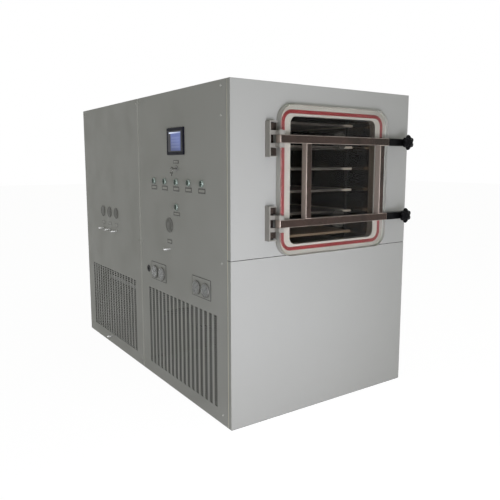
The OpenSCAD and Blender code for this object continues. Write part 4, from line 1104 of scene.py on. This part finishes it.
def bezel_surface(low, high, glass):
    """The touch panel's case: a rounded frame round the glass, and a plain body behind it. The frame is
    a profile of (inset, height) pairs carried round rounded rectangles that shrink from the case's
    outline to the glass's."""
    width, height, proud = high[1] - low[1], high[2] - low[2], SIDE_X - low[0]
    gap, body_inset = 0.0004, 0.007
    rim = (height - glass[2]) / 2 - gap
    profile = [
        (0.0, SEAT), (0.0, proud * 0.55), (0.0025, proud - 0.0006), (0.005, proud),
        (rim - 0.003, proud), (rim - 0.001, proud - 0.001), (rim, proud - 0.004), (rim, SEAT)]
    rings = []
    for inset, level in profile:
        wide = width - 2 * inset / rim * ((width - glass[1]) / 2 - gap)
        loop = rounded_loop(height - 2 * inset, wide, max(0.006 - inset, 0.001))
        rings.append(np.column_stack([loop, np.full(len(loop), level)]))
    points, faces = skin(np.array(rings), closed_profile=True)
    body = box_bar(
        (SIDE_X - SEAT, low[1] + body_inset, low[2] + body_inset),
        (high[0], high[1] - body_inset, high[2] - body_inset), 0.002, 0)
    return joined([(placed(points, side_middle(low, high), "left"), faces), body])


class FREEZEDRYER_OT_touch_panel(bpy.types.Operator):
    """Builds the touch panel's rounded case and its lit screen"""
    bl_idname = "freeze_dryer.touch_panel"
    bl_label = "Touch panel"

    def execute(self, context):
        low, high = corners("touch_screen")
        build("touch_panel_bezel", bezel_surface(*corners("touch_panel_case"), high - low), "cabinet",
              finishes["bezel_plastic"], ["touch_panel_case"])
        glass = box_bar(low, high, 0.0005, 0)
        build("screen_glass", glass, "cabinet", finishes["screen_page"], ["touch_screen"],
              side_uv(glass[0]))
        return {"FINISHED"}


class FREEZEDRYER_OT_buttons(bpy.types.Operator):
    """Builds the push buttons' chrome collars and domed lenses"""
    bl_idname = "freeze_dryer.buttons"
    bl_label = "Push buttons"

    def execute(self, context):
        bore, barrel, bottom = 0.0139, 0.0155, -0.0174
        collars = []
        for low, high in solids("button_collars"):
            outer, proud, depth = side_sizes(low, high)
            profile = [
                (outer, SEAT), (outer, proud * 0.35), (outer - 0.0012, proud * 0.75),
                (outer - 0.003, proud - 0.0003), (bore + 0.001, proud), (bore, proud - 0.0008),
                (bore, bottom), (0.002, bottom), (0.002, -depth), (barrel, -depth), (barrel, SEAT)]
            collars.append(turned_on_side(profile, low, high, closed_profile=True))
        build("button_rings", joined(collars), "cabinet", finishes["satin_collar"],
              ["button_collars"])
        for number in range(1, 7):
            node = f"button_{number}"
            low, high = corners(node)
            radius, proud, depth = side_sizes(low, high)
            profile = [
                (0.004, -depth), (radius - 0.0005, -depth), (radius, -depth + 0.0005),
                (radius, proud - 0.0042), (radius - 0.0008, proud - 0.0026),
                (radius - 0.003, proud - 0.0012), (radius * 0.55, proud - 0.0003), (radius * 0.2, proud)]
            build(f"{node}_lens", turned_on_side(profile, low, high), node,
                  finishes["green_lens"], [node])
        return {"FINISHED"}


class FREEZEDRYER_OT_key_lock(bpy.types.Operator):
    """Builds the key lock's stepped ring"""
    bl_idname = "freeze_dryer.key_lock"
    bl_label = "Key lock"

    def execute(self, context):
        low, high = corners("key_lock")
        outer, proud, depth = side_sizes(low, high)
        profile = [
            (outer, SEAT), (outer, proud * 0.5), (outer - 0.0015, proud * 0.9), (0.0095, proud),
            (0.009, proud - 0.0006), (0.0055, proud - 0.0004), (0.005, proud - 0.001), (0.005, -0.017),
            (0.002, -0.0175), (0.002, -depth), (0.011, -depth), (0.011, SEAT)]
        build("key_lock_ring", turned_on_side(profile, low, high, closed_profile=True), "cabinet",
              finishes["lock_steel"], ["key_lock"])
        return {"FINISHED"}


class FREEZEDRYER_OT_labels(bpy.types.Operator):
    """Builds the blank label plates with their border lines"""
    bl_idname = "freeze_dryer.labels"
    bl_label = "Label plates"

    def execute(self, context):
        plates = [box_bar(low, high, 0.0004, 0) for low, high in solids("label_plates")]
        uv = np.vstack([side_uv(points) for points, _ in plates])
        build("label_faces", joined(plates), "cabinet", finishes["label_plate"],
              ["label_plates"], uv)
        return {"FINISHED"}


def cap_surface(low, high):
    """A round port cap: a plug in the hole under a disc with a ring-shaped hollow round its middle."""
    radius, proud, depth = side_sizes(low, high)
    plug = radius - 0.0065
    profile = [
        (0.005, -depth), (plug, -depth), (plug, SEAT), (radius, SEAT), (radius, proud * 0.6),
        (radius - 0.0015, proud), (radius * 0.8, proud), (radius * 0.77, proud - 0.0012),
        (radius * 0.5, proud - 0.0012), (radius * 0.47, proud - 0.0004), (radius * 0.1, proud - 0.0002)]
    return turned_on_side(profile, low, high)


def stub_surface(low, high):
    """A hose stub: a tube with three barbs outside the panel and a collar behind it."""
    _, out, depth = side_sizes(low, high)
    wall, bore, ring, barb = 0.0065, 0.0045, 0.0115, 0.0009
    profile = [
        (wall, -depth), (wall, -0.0063), (ring, -0.0063), (ring, -0.0023), (wall - barb, -0.0023),
        (wall - barb, out * 0.45)]
    for step in range(3):
        at = out * (0.45 + 0.16 * step)
        profile += [(wall, at + 0.0006), (wall - barb, at + out * 0.15)]
    profile += [(bore + 0.0004, out), (bore, out - 0.001), (bore, -depth)]
    return turned_on_side(profile, low, high, closed_profile=True, segments=32)


def grommet_surface(low, high):
    """The cable grommet: a rounded ring outside the panel and a plain one inside it, with the groove
    that holds the sheet between them."""
    radius, out, depth = side_sizes(low, high)
    groove, bore = radius - 0.0044, 0.009
    profile = [
        (radius - 0.0005, SEAT), (radius, 0.001), (radius - 0.0006, out * 0.7), (radius - 0.003, out),
        (0.0105, out), (bore, out - 0.001), (bore, -depth), (radius, -depth), (radius, -0.0024),
        (groove, -0.0024), (groove, SEAT)]
    return turned_on_side(profile, low, high, closed_profile=True)


class FREEZEDRYER_OT_ports(bpy.types.Operator):
    """Builds the round port caps, the pipe stubs and the cable grommet"""
    bl_idname = "freeze_dryer.ports"
    bl_label = "Ports"

    def execute(self, context):
        caps = [cap_surface(*cap) for cap in solids("port_caps")]
        build("port_cap_discs", joined(caps), "cabinet", finishes["cap_plastic"],
              ["port_caps"])
        stubs = [stub_surface(*stub) for stub in solids("pipe_stubs")]
        build("hose_stubs", joined(stubs), "cabinet", finishes["stub_steel"],
              ["pipe_stubs"])
        build("grommet_ring", grommet_surface(*corners("cable_grommet")), "cabinet",
              finishes["black_rubber"], ["cable_grommet"])
        return {"FINISHED"}


def dial_ticks(origin, radius, level):
    """Tick marks of a dial: small bars from a tick's inner to outer radius, spread evenly over the
    dial's sweep with its gap at the bottom, the long ones also wider."""
    parts = []
    for number in range(TICKS):
        long_one = number % LONG_TICK_EVERY == 0
        inner = radius * (0.76 if long_one else 0.85)
        half = 0.0006 if long_one else 0.0003
        points, faces = box_bar((inner, -half, level), (radius * 0.93, half, level + 0.0003), 0.0001, 0)
        angle = math.radians(DIAL_SWEEP * number / (TICKS - 1) - DIAL_SWEEP / 2)
        cos, sin = math.cos(angle), math.sin(angle)
        turn = np.array([[cos, sin, 0], [-sin, cos, 0], [0, 0, 1]])
        parts.append((placed(points @ turn, origin, "left"), faces))
    return parts


class FREEZEDRYER_OT_gauges(bpy.types.Operator):
    """Builds the gauges' rings, dials with plain ticks, and glasses"""
    bl_idname = "freeze_dryer.gauges"
    bl_label = "Gauges"

    def execute(self, context):
        rings, dials, ticks, glasses = [], [], [], []
        for low, high in solids("gauge_cases"):
            outer, proud, depth = side_sizes(low, high)
            body, cup = outer - 0.006, outer - 0.009
            floor, base = proud - 0.007, proud - 0.009
            ring = [
                (0.003, -depth), (body, -depth), (body, base), (outer - 0.0005, base),
                (outer, base + 0.001), (outer, proud - 0.0035), (outer - 0.0012, proud - 0.001),
                (outer - 0.003, proud),
                (cup + 0.0035, proud), (cup + 0.002, proud - 0.001), (cup + 0.002, proud - 0.0028),
                (cup, proud - 0.003), (cup, floor), (0.003, floor)]
            dial = [
                (0.0022, floor + 0.0002), (cup - 0.0004, floor + 0.0002), (cup - 0.0004, floor + 0.0006),
                (0.0022, floor + 0.0006)]
            glass = [
                (0.004, proud - 0.0028), (cup + 0.0016, proud - 0.0028), (cup + 0.0016, proud - 0.0008),
                (cup * 0.8, proud - 0.0002), (cup * 0.4, proud), (0.002, proud)]
            rings.append(turned_on_side(ring, low, high))
            dials.append(turned_on_side(dial, low, high, closed_profile=True))
            glasses.append(turned_on_side(glass, low, high))
            ticks += dial_ticks(side_middle(low, high), cup, floor + 0.0006)
        build("gauge_rings", joined(rings), "cabinet", finishes["gauge_ring"], ["gauge_cases"])
        build("gauge_dials", joined(dials), "cabinet", finishes["dial_face"])
        build("gauge_ticks", joined(ticks), "cabinet", finishes["ink"])
        build("gauge_windows", joined(glasses), "cabinet", finishes["gauge_glass"],
              ["gauge_glasses"])
        return {"FINISHED"}


# ---------- stage ----------

# The camera: turned right, tilted down and rolled by these angles in radians, its lens in millimetres,
# where it stands, and how far its picture is shifted.
YAW = 0.6055
PITCH = 0.1364
ROLL = 0.0014
LENS = 39.963
CAMERA_XY = (-1.9246, -3.1569)
CAMERA_SHIFT = (-0.01242, -0.02253)


def seen_rays(tree):
    """1 for the rays that see the white background: camera rays, and those from gloss or through glass,
    unless they light a matt surface or come from gloss behind the glass."""
    path = tree.nodes.new("ShaderNodeLightPath")
    direct = math_node(tree, "MAXIMUM", path.outputs["Is Camera Ray"], path.outputs["Is Glossy Ray"])
    no_gloss = math_node(tree, "LESS_THAN", path.outputs["Glossy Depth"], 0.5)
    through = both(tree, path.outputs["Is Transmission Ray"], no_gloss)
    no_matt = math_node(tree, "LESS_THAN", path.outputs["Diffuse Depth"], 0.5)
    return both(tree, math_node(tree, "MAXIMUM", direct, through), no_matt)


def add_area(name, location, target, side, power, color):
    """A square area lamp at a place, turned to a target point and itself out of sight."""
    data = bpy.data.lights.new(name, "AREA")
    data.shape = "RECTANGLE"
    data.size = data.size_y = side
    data.energy = power
    data.color = color
    lamp = bpy.data.objects.new(name, data)
    lamp.visible_camera = False
    aim = Vector(target) - Vector(location)
    lamp.matrix_world = Matrix.Translation(location) @ aim.to_track_quat("-Z", "Y").to_matrix().to_4x4()
    bpy.context.scene.collection.objects.link(lamp)


def add_floor(scene, size):
    """A square pale floor, which looks white to the rays that see the background."""
    half = size / 2
    mesh = bpy.data.meshes.new("studio_floor")
    mesh.from_pydata(
        [(-half, -half, 0), (half, -half, 0), (half, half, 0), (-half, half, 0)], [], [(0, 1, 2, 3)])
    tree, shader, _ = blank_material("floor_white")
    shader.inputs["Base Color"].default_value = (0.8, 0.8, 0.8, 1.0)
    shader.inputs["Roughness"].default_value = 0.9
    shader.inputs["Specular IOR Level"].default_value = 0.0
    glow = tree.nodes.new("ShaderNodeEmission")
    glow.inputs["Strength"].default_value = 1.12
    mix = tree.nodes.new("ShaderNodeMixShader")
    tree.links.new(math_node(tree, "MULTIPLY", seen_rays(tree), 0.85), mix.inputs[0])
    tree.links.new(shader.outputs[0], mix.inputs[1])
    tree.links.new(glow.outputs[0], mix.inputs[2])
    output = next(node for node in tree.nodes if node.type == "OUTPUT_MATERIAL")
    tree.links.new(mix.outputs[0], output.inputs["Surface"])
    mesh.materials.append(finishes["floor_white"])
    floor = bpy.data.objects.new("studio_floor", mesh)
    scene.collection.objects.link(floor)


def add_world(scene, ambient):
    """Plain light from all around, which looks white to the rays that see the background."""
    world = bpy.data.worlds.new("studio")
    world.use_nodes = True
    scene.world = world
    tree = world.node_tree
    background = next(node for node in tree.nodes if node.type == "BACKGROUND")
    light = scaled((1.0, 1.01, 0.92), ambient)
    shade_between(tree, seen_rays(tree), light, WHITE, background.inputs["Color"])


def add_camera(scene, height):
    """The camera, at the height given and with the angles, lens and shift above."""
    data = bpy.data.cameras.new("camera")
    data.lens = LENS
    data.sensor_width = 36.0
    data.shift_x, data.shift_y = CAMERA_SHIFT
    camera = bpy.data.objects.new("camera", data)
    turn = (Matrix.Rotation(-YAW, 4, "Z") @ Matrix.Rotation(math.pi / 2 - PITCH, 4, "X")
            @ Matrix.Rotation(ROLL, 4, "Z"))
    camera.matrix_world = Matrix.Translation((*CAMERA_XY, height)) @ turn
    scene.collection.objects.link(camera)
    scene.camera = camera


class FREEZEDRYER_OT_stage(bpy.types.Operator):
    """Makes the pale floor, the studio light and the camera"""
    bl_idname = "freeze_dryer.stage"
    bl_label = "Stage"

    def execute(self, context):
        scene = context.scene
        look = scene.freeze_dryer_stage
        add_floor(scene, look.floor_size)
        add_world(scene, look.ambient)
        add_area(
            "key_light", (-0.85, -3.1, 0.75), (-0.3, -1.0, 0.75), 1.0, look.key_power, (0.93, 0.935, 1.03))
        add_area("top_light", (0.5, -1.5, 5.5), (0.0, 0.0, 0.8), 4.0, look.top_power, WHITE)
        add_camera(scene, look.view_height)
        scene.view_settings.view_transform = "Standard"
        return {"FINISHED"}


# ---------- panel and registration ----------

OPERATORS = (
    FREEZEDRYER_OT_finishes,
    FREEZEDRYER_OT_screws,
    FREEZEDRYER_OT_door,
    FREEZEDRYER_OT_knobs,
    FREEZEDRYER_OT_touch_panel,
    FREEZEDRYER_OT_buttons,
    FREEZEDRYER_OT_key_lock,
    FREEZEDRYER_OT_labels,
    FREEZEDRYER_OT_ports,
    FREEZEDRYER_OT_gauges,
    FREEZEDRYER_OT_stage,
)


class FREEZEDRYER_PT_sidebar(bpy.types.Panel):
    """Lists the freeze dryer's pieces in the order they are made"""
    bl_idname = "FREEZEDRYER_PT_sidebar"
    bl_label = "Freeze Dryer"
    bl_space_type = "VIEW_3D"
    bl_region_type = "UI"
    bl_category = "Freeze Dryer"

    def draw(self, context):
        for operator in OPERATORS:
            self.layout.operator(operator.bl_idname)
        for settings in SETTINGS:
            self.layout.separator()
            group = getattr(context.scene, settings)
            for name in group.__annotations__:
                self.layout.prop(group, name)


SETTINGS = {
    "freeze_dryer_cabinet": FreezeDryerCabinet,
    "freeze_dryer_door": FreezeDryerDoor,
    "freeze_dryer_controls": FreezeDryerControls,
    "freeze_dryer_stage": FreezeDryerStage,
}


def register():
    for one in (*SETTINGS.values(), *OPERATORS, FREEZEDRYER_PT_sidebar):
        bpy.utils.register_class(one)
    for name, group in SETTINGS.items():
        setattr(bpy.types.Scene, name, PointerProperty(type=group))


def unregister():
    for name in SETTINGS:
        delattr(bpy.types.Scene, name)
    for one in (FREEZEDRYER_PT_sidebar, *reversed(OPERATORS), *reversed(SETTINGS.values())):
        bpy.utils.unregister_class(one)


def main():
    """Registers the add-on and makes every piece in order."""
    register()
    for operator in OPERATORS:
        family, action = operator.bl_idname.split(".")
        getattr(getattr(bpy.ops, family), action)()


if __name__ == "__main__":
    main()
